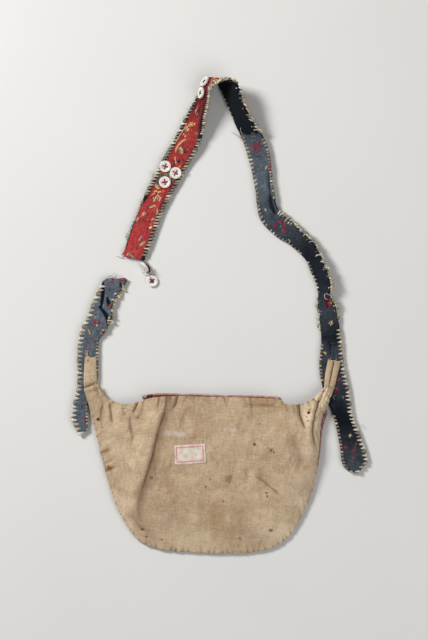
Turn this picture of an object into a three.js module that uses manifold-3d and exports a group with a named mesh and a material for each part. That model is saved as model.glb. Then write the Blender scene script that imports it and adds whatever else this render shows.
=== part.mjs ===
// Betel nut bag of folk make, laid on its front with the plain back up and the broken strap spread above it.
// Millimetres, +Z up. The origin is on the surface, under the middle of the outline, and +Y runs up the strap.

import * as THREE from "three";
import { mergeVertices } from "three/addons/utils/BufferGeometryUtils.js";
import Module from "manifold-3d";

// Driving dimensions
const GAP = 0.3;
const PANEL_CLOTH = 1.5;
const STRAP_CLOTH = 1.0;
const STRAP_HALF = STRAP_CLOTH + GAP / 2;
const STRAP_TOP = 2 * STRAP_HALF;
const STRAP_LIFT = 0.15;
const STRAP_HEM = 3.0;
const STRAP_HEM_SHARE = 0.25;
const TAB_THICKNESS = 2.0;
const TAB_CROWN = 0.5;
const BINDING_RADIUS = 1.2;
const THREAD_RADIUS = 0.45;
const BUTTON_DIAMETER = 10.2;
const BUTTON_HEIGHT = 2.1;
const BUTTON_HOLE_RADIUS = 0.65;
const BUTTON_HOLE_OFFSET = 1.15;
const LABEL = { x: -26.2, y: -121.6, width: 27.2, height: 16.8, turn: 0.066, thickness: 0.4, lift: 0.45 };

// Mesh steps
const PANEL_STEPS = { along: 88, across: 9 };
const LONG_STRAP_STEPS = 84;
const SHORT_STRAP_STEPS = 26;
const STRAP_ACROSS = 3;
const TAIL_STEPS = 2;
const TAB_STEPS = { along: 6, across: 4 };
const LABEL_STEPS = { along: 6, across: 4 };
const BUTTON_SIDES = 14;
const HOLE_SIDES = 6;
const TUBE_SIDES = 8;
const SEAT_SEARCH = { along: 800, across: 24 };
const NEWTON_STEPS = 12;

/** Turns rows of numbers into objects with the named columns. */
function table(columns, rows) {
  const names = columns.split(" ");
  return rows.map((row) => Object.fromEntries(names.map((name, i) => [name, row[i]])));
}

// The back, a row for each line from the mouth edge out to the seam, from the left neck round to the right one.
// The heights are those of the middle of the cloth, and swell is how far the line bulges between its ends.
const BACK_SECTIONS = table("mouthX mouthY mouthZ seamX seamY seamZ swell", [
  [-106.5, -63.3, 4.6, -119.5, -64.5, 4.1, 1.6],
  [-103.5, -68.0, 5.2, -117.0, -72.5, 3.8, 2.0],
  [-96.5, -74.5, 6.2, -113.0, -87.0, 2.9, 2.6],
  [-87.5, -77.5, 7.2, -108.5, -104.5, 2.6, 3.2],
  [-79.0, -78.0, 7.8, -104.0, -123.0, 2.6, 3.6],
  [-69.5, -76.0, 8.2, -98.0, -145.0, 2.6, 3.8],
  [-60.5, -73.0, 8.6, -90.0, -169.0, 2.6, 4.0],
  [-48.0, -71.5, 8.8, -77.0, -191.5, 2.6, 4.0],
  [-40.0, -71.3, 9.0, -66.0, -200.8, 2.6, 4.0],
  [-31.0, -71.2, 9.1, -51.0, -205.6, 2.6, 4.0],
  [-16.0, -71.7, 9.2, -28.0, -207.7, 2.6, 4.0],
  [0.0, -72.0, 9.2, -2.0, -208.9, 2.6, 4.0],
  [18.0, -72.4, 9.1, 24.0, -208.4, 2.6, 4.0],
  [35.0, -73.0, 8.9, 46.0, -203.9, 2.6, 4.0],
  [51.0, -74.2, 8.6, 62.0, -191.5, 2.6, 3.9],
  [57.5, -78.4, 8.3, 74.0, -171.0, 2.6, 3.8],
  [66.5, -78.4, 8.0, 82.0, -150.0, 2.6, 3.7],
  [75.5, -76.5, 7.4, 87.0, -123.0, 2.6, 3.4],
  [81.5, -73.5, 6.6, 89.5, -99.0, 2.6, 2.8],
  [87.0, -68.5, 5.6, 94.7, -83.0, 3.0, 2.2],
  [91.3, -63.0, 4.8, 100.2, -63.6, 4.3, 1.6],
]);
const BACK_LAST = BACK_SECTIONS.length - 1;

// Folds of the back, each drawn downwards: the cloth stands up on the left of its line and dips on the right.
const FOLD_EDGE = 0.9;
const FOLD_FADE = 0.45;
const BACK_FOLDS = [
  {
    name: "long step", rise: 1.9, dip: 1.5, left: 15, right: 9,
    route: [[-47, -71], [-52.5, -92], [-59.5, -118.5], [-66.5, -143], [-75, -168]],
  },
  {
    name: "second step", rise: 0.4, dip: 0.7, left: 6, right: 6,
    route: [[-39.5, -71], [-41, -86]],
  },
  {
    name: "right crease", rise: -0.5, dip: 0.9, left: 6, right: 9,
    route: [[23.5, -137.5], [39.5, -151], [56, -163]],
  },
  {
    name: "left neck outer pleat", rise: -0.6, dip: 0.8, left: 4, right: 4,
    route: [[-106, -74], [-103.5, -104]],
  },
  {
    name: "left neck inner pleat", rise: -0.5, dip: 0.8, left: 4, right: 5,
    route: [[-97, -76], [-94, -100]],
  },
  {
    name: "left shoulder crease", rise: 0.5, dip: 0.8, left: 6, right: 8,
    route: [[-73, -76], [-80, -88], [-78, -112]],
  },
  {
    name: "right shoulder pleat", rise: 0.4, dip: 1.2, left: 6, right: 5,
    route: [[67, -78], [68.5, -88], [75, -104]],
  },
  {
    name: "right neck pleat", rise: -0.6, dip: 0.8, left: 4, right: 4,
    route: [[84, -76], [80, -90], [83, -118]],
  },
];
const NECK_GATHER = { depth: 0.35, pleats: 2.5, reach: 22 };

// Powers that shape a line of the back: where its crown lies, how late it turns down to the seam, how late the
// folds die out there, and how the mesh lines crowd towards it.
const PILLOW_LEAN = 0.8;
const SEAM_TURN = 4;
const SEAM_HOLD = 5;
const SEAM_CROWDING = 1.3;

// The straight top of the front panel and its hidden shoulders, left to right.
const FRONT_TOP = table("x y", [
  [-111, -83],
  [-84, -82],
  [-71, -80],
  [-69, -71.8],
  [-48, -70.9],
  [-4, -71.4],
  [40, -72.7],
  [52, -73.8],
  [55, -80],
  [66, -82.5],
  [93.5, -84],
]);
const FRONT_FIRST_ROW = 2.4;
const FRONT_LAST_ROW = 18.7;

// How far the front panel shows past the seam, by rows of the back.
const FRONT_SHOW = table("row show", [[0, -0.8], [13.5, -0.8], [15, 0.3], [16.5, 1.1], [18.2, 1.5], [20, 0.6]]);
const FRONT_BEVEL = 0.3;
const FRONT_STEPS = 56;

const BINDING_ROUTE = table("x y", [[-69, -69.8], [-48, -69.1], [-4, -69.6], [40, -70.9], [52.5, -72]]);
const BINDING_STEPS = 14;
const BINDING_LIFT = 0.05;

// Long end of the strap, from the pointed tail at the right, over the top of the loop, to the broken end.
// right and left are its edges seen from above, and lift is how far the right edge stands above the left one.
const LONG_STRAP = table("rightX rightY leftX leftY lift", [
  [121, -138.5, 115, -137.5, 0],
  [125.5, -132.5, 109.5, -133.5, 0],
  [129, -126.5, 107, -128, 0],
  [123.5, -108, 104.5, -109.5, 0],
  [116, -87.5, 99, -87, 0],
  [113, -66, 91, -67.5, 0],
  [108, -43, 87.5, -44.5, 0],
  [106, -20, 89, -22, 0],
  [102.5, 1, 87, 0, 1],
  [100, 10.5, 86, 10.5, 4],
  [96, 18.5, 86.5, 19, 6],
  [97, 26, 84.5, 27, 7],
  [94, 37.5, 80.5, 37, 8],
  [88.5, 51, 76.5, 46.5, 7],
  [82, 63.5, 69.5, 54.5, 5],
  [73, 71.5, 60.5, 62.5, 5],
  [63, 81.5, 51.5, 67.5, 3],
  [53.5, 89.5, 43, 74.5, 2],
  [49, 97, 36, 83.5, 2],
  [47.5, 106.5, 33, 95, 2],
  [45.5, 118.5, 31.5, 109, 2],
  [44.5, 131, 28.5, 125, 2],
  [42.5, 144.5, 24.5, 140, 2],
  [37.5, 156, 20.5, 152.5, 4],
  [31, 165, 15, 164.5, 9],
  [25.5, 174.5, 10.5, 175.5, 13],
  [21, 185, 6, 186.5, 15.5],
  [17.5, 196, 2, 195.5, 17],
  [13, 203.5, -1, 201.5, 18.5],
  [7, 206, -4.5, 206, 19.5],
  [1, 204.5, -9, 207.5, 19],
  [-5, 201, -13.5, 205.5, 18],
  [-8.5, 196, -17, 199, 17],
  [-9.5, 187, -21.5, 188, 15],
  [-12.5, 173, -30, 173.5, 10],
  [-15, 158.5, -37.5, 158.5, 5],
  [-20, 145, -45.5, 144.5, 2],
  [-28, 131, -53, 130.5, 0],
  [-36, 116.5, -60.5, 116.5, 0],
  [-44, 102.5, -67, 102.5, 0],
  [-51, 88, -73, 88, 0],
  [-56.5, 73, -79, 73.5, 0],
  [-61.5, 59.5, -82.5, 61, 0],
  [-66.5, 48, -86.5, 51, 0],
]);

// Short end of the strap, from the tail below the left neck up to its ragged end.
const SHORT_STRAP = table("rightX rightY leftX leftY lift", [
  [-116, -101, -123, -104.5, 0],
  [-116, -91, -129.5, -91.5, 0],
  [-116.5, -80, -128.5, -80, 0],
  [-113, -71.5, -126.5, -71, 0],
  [-108.5, -62.5, -124.5, -62, 0],
  [-107, -49, -124.5, -49, 0],
  [-107, -33, -124.5, -33, 0],
  [-106, -22, -123.5, -21, 0],
  [-100, -13, -121, -12, 0.8],
  [-95, -3.5, -116.5, -3, 1.6],
  [-94.5, 6.5, -112.5, 7.5, 1.6],
  [-91, 15.5, -108.5, 17, 0.8],
  [-85.5, 23.5, -104.5, 25, 0],
  [-81, 31.5, -101, 32.5, 0],
]);

// The cream strips over the strap, from the neck upwards.
const LEFT_TAB = table("rightX rightY leftX leftY", [
  [-107.6, -62.8, -119.6, -64],
  [-107.6, -55, -119.6, -55],
  [-108.2, -45, -119, -45],
  [-108.4, -37, -118.2, -37.4],
]);
const RIGHT_TAB = table("rightX rightY leftX leftY", [
  [100.2, -63, 91, -62.4],
  [102.6, -54, 92, -53.2],
  [104.6, -46, 93.4, -45.4],
  [105.4, -40, 94, -39.2],
]);

// Buttons sewn on the face of the long strap, by the place of each centre seen from above.
const SEWN_BUTTONS = table("name x y spin", [
  ["button_cluster_1", -48, 130, 0.5],
  ["button_cluster_2", -38.6, 124, 0.2],
  ["button_cluster_3", -48.5, 116.6, 0.9],
  ["button_apex_1", -12.2, 203, 0.6],
  ["button_apex_2", -14.6, 194, 0.3],
]);

// Loose buttons at the broken end: facing is the plan direction that the tilted one faces.
const LOOSE_BUTTONS = table("name x y z tilt facing", [
  ["dangling_button_1", -66.2, 41.2, 4.3, 1.13, 0.5],
  ["dangling_button_2", -59.6, 29.8, 0.05, 0, 0],
]);
const THREAD_ROUTE = table("x y z", [
  [-66.2, 47.2, 1.2],
  [-64.4, 45.8, 1.4],
  [-62.4, 43.6, 2.3],
  [-61.4, 40.0, 2.9],
  [-61.2, 36.6, 3.1],
  [-60.4, 33.4, 3.2],
  [-59.8, 30.4, 2.7],
]);
const THREAD_STEPS = 12;

// Cloth and button colours
const finish = (color, roughness) => new THREE.MeshStandardMaterial({ color, roughness, metalness: 0 });
const CREAM_COTTON = finish(0xb49a72, 0.95);
const CRIMSON_CLOTH = finish(0x6e2430, 0.9);
const RED_BINDING = finish(0x9a3a3c, 0.85);
const RED_FACE = finish(0xa5332c, 0.85);
const INDIGO_BACKING = finish(0x3a4656, 0.9);
const WHITE_BUTTON = finish(0xdcdbd4, 0.35);
const CREAM_THREAD = finish(0xd8ccb0, 0.9);
const LABEL_PAPER = finish(0xcdbfa6, 0.9);

const { lerp, smoothstep } = THREE.MathUtils;
const vector = (x, y, z) => new THREE.Vector3(x, y, z);
const UP = vector(0, 0, 1);
const steps = (count) => Array.from({ length: count + 1 }, (_, i) => i / count);
const smoothCurve = (points) => new THREE.CatmullRomCurve3(points, false, "catmullrom", 0.5);

/** Six times the signed volume of an indexed mesh, positive when its faces point out. */
function signedVolume(positions, index) {
  const corner = (i) => vector(positions[3 * i], positions[3 * i + 1], positions[3 * i + 2]);
  let sum = 0;
  for (let i = 0; i < index.length; i += 3) {
    sum += corner(index[i]).dot(corner(index[i + 1]).cross(corner(index[i + 2])));
  }
  return sum;
}

/** Geometry of positions and triangles alone, with empty triangles left out and the faces pointing out. */
function closedGeometry(positions, triangles) {
  const index = [];
  for (let i = 0; i < triangles.length; i += 3) {
    const [a, b, c] = [triangles[i], triangles[i + 1], triangles[i + 2]];
    if (a !== b && b !== c && c !== a) {
      index.push(a, b, c);
    }
  }
  if (signedVolume(positions, index) < 0) {
    index.reverse();
  }
  const geometry = new THREE.BufferGeometry();
  geometry.setAttribute("position", new THREE.Float32BufferAttribute(positions, 3));
  geometry.setIndex(index);
  geometry.computeVertexNormals();
  return geometry;
}

/** The same shape with its shared vertices merged, for pieces made by the geometry classes. */
function merged(geometry) {
  geometry.deleteAttribute("normal");
  geometry.deleteAttribute("uv");
  const joined = mergeVertices(geometry, 1e-3);
  return closedGeometry([...joined.attributes.position.array], [...joined.index.array]);
}

/** Closed wall between the outer and inner polylines of each station, which have the same number of points. */
function wallGeometry(stations) {
  const across = stations[0].outer.length;
  const loop = 2 * across;
  const positions = stations.flatMap(({ outer, inner }) =>
    [...outer, ...inner.toReversed()].flatMap((point) => point.toArray()));
  const triangles = [];
  const quad = (a, b, c, d) => triangles.push(a, b, c, a, c, d);
  for (let i = 0; i + 1 < stations.length; i++) {
    for (let j = 0; j < loop; j++) {
      const next = (j + 1) % loop;
      quad(i * loop + j, i * loop + next, (i + 1) * loop + next, (i + 1) * loop + j);
    }
  }
  const last = (stations.length - 1) * loop;
  for (let j = 0; j + 1 < across; j++) {
    quad(loop - 1 - j, loop - 2 - j, j + 1, j);
    quad(last + j, last + j + 1, last + loop - 2 - j, last + loop - 1 - j);
  }
  return closedGeometry(positions, triangles);
}

/** Round tube along a route, closed at both ends. */
function tubeGeometry(route, radius, count) {
  const section = new THREE.Shape();
  for (let i = 0; i < TUBE_SIDES; i++) {
    const angle = (2 * Math.PI * i) / TUBE_SIDES;
    const method = i === 0 ? "moveTo" : "lineTo";
    section[method](radius * Math.cos(angle), radius * Math.sin(angle));
  }
  const extrudePath = smoothCurve(route);
  return merged(new THREE.ExtrudeGeometry(section, { steps: count, extrudePath, bevelEnabled: false }));
}

/** Signed distance of a plan point from a fold's route, and how far along the route its nearest point is. */
function placeOnRoute(route, x, y) {
  const lengths = route.slice(1).map(([x1, y1], i) => Math.hypot(x1 - route[i][0], y1 - route[i][1]));
  const total = lengths.reduce((sum, length) => sum + length, 0);
  let best = { distance: Infinity, along: 0 };
  let passed = 0;
  for (const [i, length] of lengths.entries()) {
    const [x0, y0] = route[i];
    const dirX = (route[i + 1][0] - x0) / length;
    const dirY = (route[i + 1][1] - y0) / length;
    const ahead = THREE.MathUtils.clamp((x - x0) * dirX + (y - y0) * dirY, 0, length);
    const distance = Math.hypot(x - x0 - ahead * dirX, y - y0 - ahead * dirY);
    if (distance < Math.abs(best.distance)) {
      const side = Math.sign(dirX * (y - y0) - dirY * (x - x0)) || 1;
      best = { distance: side * distance, along: (passed + ahead) / total };
    }
    passed += length;
  }
  return best;
}

/** Height that the folds add to the back at a plan point. */
function foldHeight(x, y) {
  let height = 0;
  for (const { rise, dip, left, right, route } of BACK_FOLDS) {
    const { distance, along } = placeOnRoute(route, x, y);
    const fade = 1 - smoothstep(along, FOLD_FADE, 1);
    const over = 1 / (1 + Math.exp(-distance / FOLD_EDGE));
    const raised = rise * Math.exp(-((distance / left) ** 2)) * (1 - over);
    const dipped = dip * Math.exp(-((distance / right) ** 2)) * over;
    height += fade * (raised - dipped);
  }
  return height;
}

const mouthCurve = smoothCurve(BACK_SECTIONS.map((row) => vector(row.mouthX, row.mouthY, row.mouthZ)));
const seamCurve = smoothCurve(BACK_SECTIONS.map((row) => vector(row.seamX, row.seamY, row.seamZ)));
const swellCurve = smoothCurve(BACK_SECTIONS.map((row) => vector(row.swell, 0, 0)));
const mouthLength = mouthCurve.getLength();

/** Point in the middle of the back's cloth: u runs along the mouth from the left neck, v from mouth to seam. */
function backPoint(u, v) {
  const mouth = mouthCurve.getPoint(u);
  const seam = seamCurve.getPoint(u);
  const x = lerp(mouth.x, seam.x, v);
  const y = lerp(mouth.y, seam.y, v);
  const fromNeck = mouthLength * Math.min(u, 1 - u);
  const gather = NECK_GATHER.depth * Math.exp(-fromNeck / NECK_GATHER.reach);
  const pillow = swellCurve.getPoint(u).x * Math.sin(Math.PI * v ** PILLOW_LEAN);
  const ripple = gather * Math.cos(2 * Math.PI * NECK_GATHER.pleats * v);
  const free = 1 - v ** SEAM_HOLD;
  return vector(x, y, lerp(mouth.z, seam.z, v ** SEAM_TURN) + pillow + free * (ripple + foldHeight(x, y)));
}

/** Height of the middle of the back's cloth over a plan point, found by a few Newton steps. */
function backHeight(x, y) {
  const STEP = 1e-3;
  let [u, v] = [0.5, 0.4];
  for (let i = 0; i < NEWTON_STEPS; i++) {
    const here = backPoint(u, v);
    const byU = backPoint(u + STEP, v).sub(here).divideScalar(STEP);
    const byV = backPoint(u, v + STEP).sub(here).divideScalar(STEP);
    const spread = byU.x * byV.y - byU.y * byV.x;
    u += ((x - here.x) * byV.y - (y - here.y) * byV.x) / spread;
    v += ((y - here.y) * byU.x - (x - here.x) * byU.y) / spread;
  }
  return backPoint(u, v).z;
}

/** Wall with its cloth laid evenly above and below a grid of middle points. */
function clothWall(rows, thickness) {
  const shifted = (points, height) => points.map((point) => point.clone().add(vector(0, 0, height)));
  return wallGeometry(rows.map((points) => ({
    outer: shifted(points, thickness / 2),
    inner: shifted(points, -thickness / 2),
  })));
}

function backPanel() {
  const across = steps(PANEL_STEPS.across).map((v) => 1 - (1 - v) ** SEAM_CROWDING);
  const rows = steps(PANEL_STEPS.along).map((u) => across.map((v) => backPoint(u, v)));
  return clothWall(rows, PANEL_CLOTH);
}

/** How far the front panel shows past the seam at a row of the back. */
function frontShow(row) {
  const next = FRONT_SHOW.findIndex((entry) => entry.row > row);
  const [from, to] = [FRONT_SHOW[next - 1], FRONT_SHOW[next]];
  return lerp(from.show, to.show, (row - from.row) / (to.row - from.row));
}

function frontPanel() {
  const outline = FRONT_TOP.map(({ x, y }) => new THREE.Vector2(x, y)).reverse();
  for (const share of steps(FRONT_STEPS)) {
    const row = lerp(FRONT_FIRST_ROW, FRONT_LAST_ROW, share);
    const mouth = mouthCurve.getPoint(row / BACK_LAST);
    const seam = seamCurve.getPoint(row / BACK_LAST);
    const outward = seam.clone().sub(mouth).setZ(0).normalize();
    const edge = seam.addScaledVector(outward, frontShow(row));
    outline.push(new THREE.Vector2(edge.x, edge.y));
  }
  const plate = new THREE.ExtrudeGeometry(new THREE.Shape(outline), {
    depth: PANEL_CLOTH - 2 * FRONT_BEVEL,
    bevelThickness: FRONT_BEVEL,
    bevelSize: FRONT_BEVEL,
    bevelOffset: -FRONT_BEVEL,
    bevelSegments: 1,
  });
  plate.translate(0, 0, FRONT_BEVEL);
  return merged(plate);
}

function mouthBinding() {
  const route = BINDING_ROUTE.map(({ x, y }) => vector(x, y, BINDING_RADIUS + BINDING_LIFT));
  return tubeGeometry(route, BINDING_RADIUS, BINDING_STEPS);
}

/** A flat band between two edges, with its middle, across direction and normal anywhere along it. */
class Band {
  constructor(rows) {
    const ends = rows.map(({ rightX, rightY, leftX, leftY, lift }) => {
      const plan = Math.hypot(rightX - leftX, rightY - leftY);
      const low = (STRAP_HALF * plan) / Math.hypot(plan, lift) + STRAP_LIFT;
      return { right: vector(rightX, rightY, low + lift), left: vector(leftX, leftY, low) };
    });
    this.right = smoothCurve(ends.map(({ right }) => right));
    this.left = smoothCurve(ends.map(({ left }) => left));
  }

  /** Middle, unit across, unit normal to the face side, and half width at a share of the band's length. */
  frame(t) {
    const right = this.right.getPoint(t);
    const left = this.left.getPoint(t);
    const middle = right.clone().lerp(left, 0.5);
    const across = right.clone().sub(left);
    const half = across.length() / 2;
    const along = this.right.getTangent(t).add(this.left.getTangent(t));
    const normal = along.cross(across).normalize();
    return { middle, across: across.normalize(), normal, half };
  }

  /** Point at a distance across and a height along the normal. */
  place(t, across, height) {
    const frame = this.frame(t);
    return frame.middle.addScaledVector(frame.across, across).addScaledVector(frame.normal, height);
  }

  /** Backing cloth with its two hems turned up round the edges of the face. */
  backing(count) {
    return wallGeometry(steps(count).map((t) => {
      const { half } = this.frame(t);
      const hem = Math.min(STRAP_HEM, STRAP_HEM_SHARE * 2 * half);
      const floor = (reach, height) =>
        steps(STRAP_ACROSS).map((s) => this.place(t, lerp(-reach, reach, s), height));
      const lip = (reach) => this.place(t, reach, STRAP_HALF);
      return {
        outer: [lip(-half), ...floor(half, -STRAP_HALF), lip(half)],
        inner: [lip(hem - half), ...floor(half - hem, -GAP / 2), lip(half - hem)],
      };
    }));
  }

  /** Face cloth, lying between the hems, without the first few of the backing's steps. */
  face(count, skipped) {
    return wallGeometry(steps(count).slice(skipped).map((t) => {
      const { half } = this.frame(t);
      const reach = half - Math.min(STRAP_HEM, STRAP_HEM_SHARE * 2 * half) - GAP;
      const layer = (height) => steps(STRAP_ACROSS).map((v) => this.place(t, lerp(-reach, reach, v), height));
      return { outer: layer(STRAP_HALF), inner: layer(GAP / 2) };
    }));
  }

  /** Frame of a button whose centre is seen from above at a plan point, clear of the face all round. */
  seat(x, y) {
    let best = { distance: Infinity };
    for (const t of steps(SEAT_SEARCH.along)) {
      const { half } = this.frame(t);
      for (const share of steps(SEAT_SEARCH.across)) {
        const spot = this.place(t, lerp(-half, half, share), STRAP_HALF);
        const distance = Math.hypot(spot.x - x, spot.y - y);
        if (distance < best.distance) {
          best = { distance, spot, t };
        }
      }
    }
    const { normal } = this.frame(best.t);
    let clear = 0;
    for (const t of steps(SEAT_SEARCH.along)) {
      const { half } = this.frame(t);
      for (const share of steps(SEAT_SEARCH.across)) {
        const away = this.place(t, lerp(-half, half, share), STRAP_HALF).sub(best.spot);
        const height = away.dot(normal);
        const near = away.addScaledVector(normal, -height).length() < BUTTON_DIAMETER / 2;
        if (near && Math.abs(height) < BUTTON_HEIGHT) {
          clear = Math.max(clear, height);
        }
      }
    }
    return { position: best.spot.addScaledVector(normal, clear + GAP), normal };
  }
}

/** Cream strip lying on the strap, slightly crowned across. */
function neckTab(rows) {
  const right = smoothCurve(rows.map(({ rightX, rightY }) => vector(rightX, rightY, 0)));
  const left = smoothCurve(rows.map(({ leftX, leftY }) => vector(leftX, leftY, 0)));
  const middle = STRAP_TOP + GAP + TAB_THICKNESS / 2;
  const grid = steps(TAB_STEPS.along).map((t) => steps(TAB_STEPS.across).map((s) => {
    const crown = TAB_CROWN * Math.sin(Math.PI * s);
    return right.getPoint(t).lerp(left.getPoint(t), s).setZ(middle + crown);
  }));
  return clothWall(grid, TAB_THICKNESS);
}

function paperLabel() {
  const { x, y, width, height, turn, thickness, lift } = LABEL;
  const rows = steps(LABEL_STEPS.along).map((s) => steps(LABEL_STEPS.across).map((r) => {
    const spot = vector((s - 0.5) * width, (r - 0.5) * height, 0).applyAxisAngle(UP, turn).add(vector(x, y, 0));
    return spot.setZ(backHeight(spot.x, spot.y) + PANEL_CLOTH / 2 + lift + thickness / 2);
  }));
  return clothWall(rows, thickness);
}

const wasm = await Module();
wasm.setup();

/** Solid for joining and cutting, from a closed geometry. */
function solid(geometry) {
  const vertProperties = new Float32Array(geometry.attributes.position.array);
  const triVerts = new Uint32Array(geometry.index.array);
  return new wasm.Manifold(new wasm.Mesh({ numProp: 3, vertProperties, triVerts }));
}

/** Four-hole button with a raised rim, its underside on z = 0. */
function buttonGeometry() {
  const radius = BUTTON_DIAMETER / 2;
  const profile = [
    [0, 0],
    [radius - 0.8, 0],
    [radius, 0.8],
    [radius - 0.5, BUTTON_HEIGHT],
    [radius - 1.6, BUTTON_HEIGHT - 0.1],
    [radius - 2.3, BUTTON_HEIGHT - 0.6],
    [0, BUTTON_HEIGHT - 0.7],
  ];
  const disc = new THREE.LatheGeometry(profile.map(([r, z]) => new THREE.Vector2(r, z)), BUTTON_SIDES);
  disc.rotateX(Math.PI / 2);
  let body = solid(merged(disc));
  for (const [signX, signY] of [[1, 1], [1, -1], [-1, 1], [-1, -1]]) {
    const drill = 3 * BUTTON_HEIGHT;
    const hole = new THREE.CylinderGeometry(BUTTON_HOLE_RADIUS, BUTTON_HOLE_RADIUS, drill, HOLE_SIDES);
    hole.rotateX(Math.PI / 2);
    hole.translate(signX * BUTTON_HOLE_OFFSET, signY * BUTTON_HOLE_OFFSET, BUTTON_HEIGHT / 2);
    body = body.subtract(solid(merged(hole)));
  }
  const mesh = body.getMesh();
  return closedGeometry([...mesh.vertProperties], [...mesh.triVerts]);
}

const bag = new THREE.Group();

function addPiece(group, name, geometry, material) {
  const piece = new THREE.Mesh(geometry, material);
  piece.name = name;
  group.add(piece);
  return piece;
}

const pouch = new THREE.Group();
addPiece(pouch, "back_panel", backPanel(), CREAM_COTTON);
addPiece(pouch, "front_panel", frontPanel(), CRIMSON_CLOTH);
addPiece(pouch, "mouth_binding", mouthBinding(), RED_BINDING);
addPiece(pouch, "neck_tab_left", neckTab(LEFT_TAB), CREAM_COTTON);
addPiece(pouch, "neck_tab_right", neckTab(RIGHT_TAB), CREAM_COTTON);
addPiece(pouch, "paper_label", paperLabel(), LABEL_PAPER);
bag.add(pouch);

const strap = new THREE.Group();
const longBand = new Band(LONG_STRAP);
const shortBand = new Band(SHORT_STRAP);
addPiece(strap, "long_strap_backing", longBand.backing(LONG_STRAP_STEPS), INDIGO_BACKING);
addPiece(strap, "long_strap_face", longBand.face(LONG_STRAP_STEPS, TAIL_STEPS), RED_FACE);
addPiece(strap, "short_strap_backing", shortBand.backing(SHORT_STRAP_STEPS), INDIGO_BACKING);
addPiece(strap, "short_strap_face", shortBand.face(SHORT_STRAP_STEPS, TAIL_STEPS), RED_FACE);
bag.add(strap);

const buttons = new THREE.Group();
const buttonShape = buttonGeometry();
for (const { name, x, y, spin } of SEWN_BUTTONS) {
  const { position, normal } = longBand.seat(x, y);
  const button = addPiece(buttons, name, buttonShape, WHITE_BUTTON);
  button.position.copy(position);
  button.quaternion.setFromUnitVectors(UP, normal);
  button.rotateZ(spin);
}
for (const { name, x, y, z, tilt, facing } of LOOSE_BUTTONS) {
  const button = addPiece(buttons, name, buttonShape, WHITE_BUTTON);
  const normal = vector(Math.sin(tilt) * Math.cos(facing), Math.sin(tilt) * Math.sin(facing), Math.cos(tilt));
  button.position.set(x, y, z);
  button.quaternion.setFromUnitVectors(UP, normal);
}
const threadRoute = THREAD_ROUTE.map(({ x, y, z }) => vector(x, y, z));
addPiece(buttons, "button_thread", tubeGeometry(threadRoute, THREAD_RADIUS, THREAD_STEPS), CREAM_THREAD);
bag.add(buttons);

export default bag;
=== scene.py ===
"""Betel nut bag of folk make, laid on its front with the plain back up and the broken strap spread above it.

Tables and classes hold millimetres, meshes hold metres. Places read from the photograph are its pixels, which
PhotoScale turns into millimetres on the surface under the bag. Heights come from the cloth that carries a
piece.
"""

import logging
import math
from collections.abc import Iterable, Iterator, Sequence
from dataclasses import dataclass, field
from enum import Enum

import bpy
import numpy as np
from mathutils import Matrix, Quaternion, Vector

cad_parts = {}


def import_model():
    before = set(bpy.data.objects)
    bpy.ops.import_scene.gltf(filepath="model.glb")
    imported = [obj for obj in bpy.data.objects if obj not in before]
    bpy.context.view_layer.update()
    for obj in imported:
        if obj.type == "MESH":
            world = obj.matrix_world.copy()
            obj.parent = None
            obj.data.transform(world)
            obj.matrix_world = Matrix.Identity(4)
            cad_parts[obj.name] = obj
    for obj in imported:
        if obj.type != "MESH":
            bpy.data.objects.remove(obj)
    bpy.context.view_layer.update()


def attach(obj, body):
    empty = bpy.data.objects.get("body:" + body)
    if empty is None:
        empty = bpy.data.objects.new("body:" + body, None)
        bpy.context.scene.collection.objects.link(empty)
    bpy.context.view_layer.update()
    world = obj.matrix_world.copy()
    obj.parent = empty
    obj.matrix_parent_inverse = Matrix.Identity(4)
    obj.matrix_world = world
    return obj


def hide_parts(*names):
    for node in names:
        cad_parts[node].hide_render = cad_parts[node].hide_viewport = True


LOG = logging.getLogger("betel_nut_bag")

MM = 0.001
BODY = "root"
LEVEL = np.array([1, 1, 0])
UP = np.array([0, 0, 1])

# Least heights of cloth and of thread above the surface that the bag lies on.
CLOTH_FLOOR = 0.03
THREAD_FLOOR = 0.01

Array = np.ndarray
Pixel = tuple[float, float]
Colour = tuple[float, float, float, float]
Window = tuple[float, ...]
Socket = bpy.types.NodeSocket
Material = bpy.types.Material
Piece = bpy.types.Object


def linear(red: int, green: int, blue: int) -> Colour:
    """Linear colour, with full alpha, of one given as it looks on a screen.

    Args:
        red: Red from 0 to 255.
        green: Green from 0 to 255.
        blue: Blue from 0 to 255.

    Returns:
        Red, green, blue and alpha for a shader.
    """
    shares = np.array([red, green, blue]) / 255
    low = shares / 12.92
    high = ((shares + 0.055) / 1.055) ** 2.4
    return (*np.where(shares <= 0.04045, low, high).tolist(), 1)


def smooth_step(value: Array, start: float, end: float) -> Array:
    """Rise from 0 at start to 1 at end with level ends."""
    share = np.clip((value - start) / (end - start), 0, 1)
    return share * share * (3 - 2 * share)


def unit(vectors: Array) -> Array:
    """Vectors scaled to length one along the last axis."""
    return vectors / np.maximum(np.linalg.norm(vectors, axis=-1, keepdims=True), 1e-9)


def bell(value: Array, middle: float = 0, width: float = 1) -> Array:
    """Hump that is 1 at its middle and falls away over its width."""
    return np.exp(-(((value - middle) / width) ** 2))


def run_along(points: Array) -> Array:
    """Distance along a line of points from the first of them."""
    steps = np.linalg.norm(np.diff(points, axis=0), axis=1)
    return np.concatenate([[0], np.cumsum(steps)])


@dataclass(frozen=True)
class PhotoScale:
    """Where the photograph's pixels lie on the surface under the bag, seen from straight above."""

    mm_per_pixel: float = 0.877
    zero_x: float = 220
    zero_y: float = 315
    width: int = 428
    height: int = 640

    def plan(self, pixels: Sequence[Pixel] | Sequence[float]) -> Array:
        """Plan points in millimetres."""
        x, y = np.reshape(np.asarray(pixels, dtype=float), (-1, 2)).T
        return np.column_stack([x - self.zero_x, self.zero_y - y]) * self.mm_per_pixel


PHOTO = PhotoScale()


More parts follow.
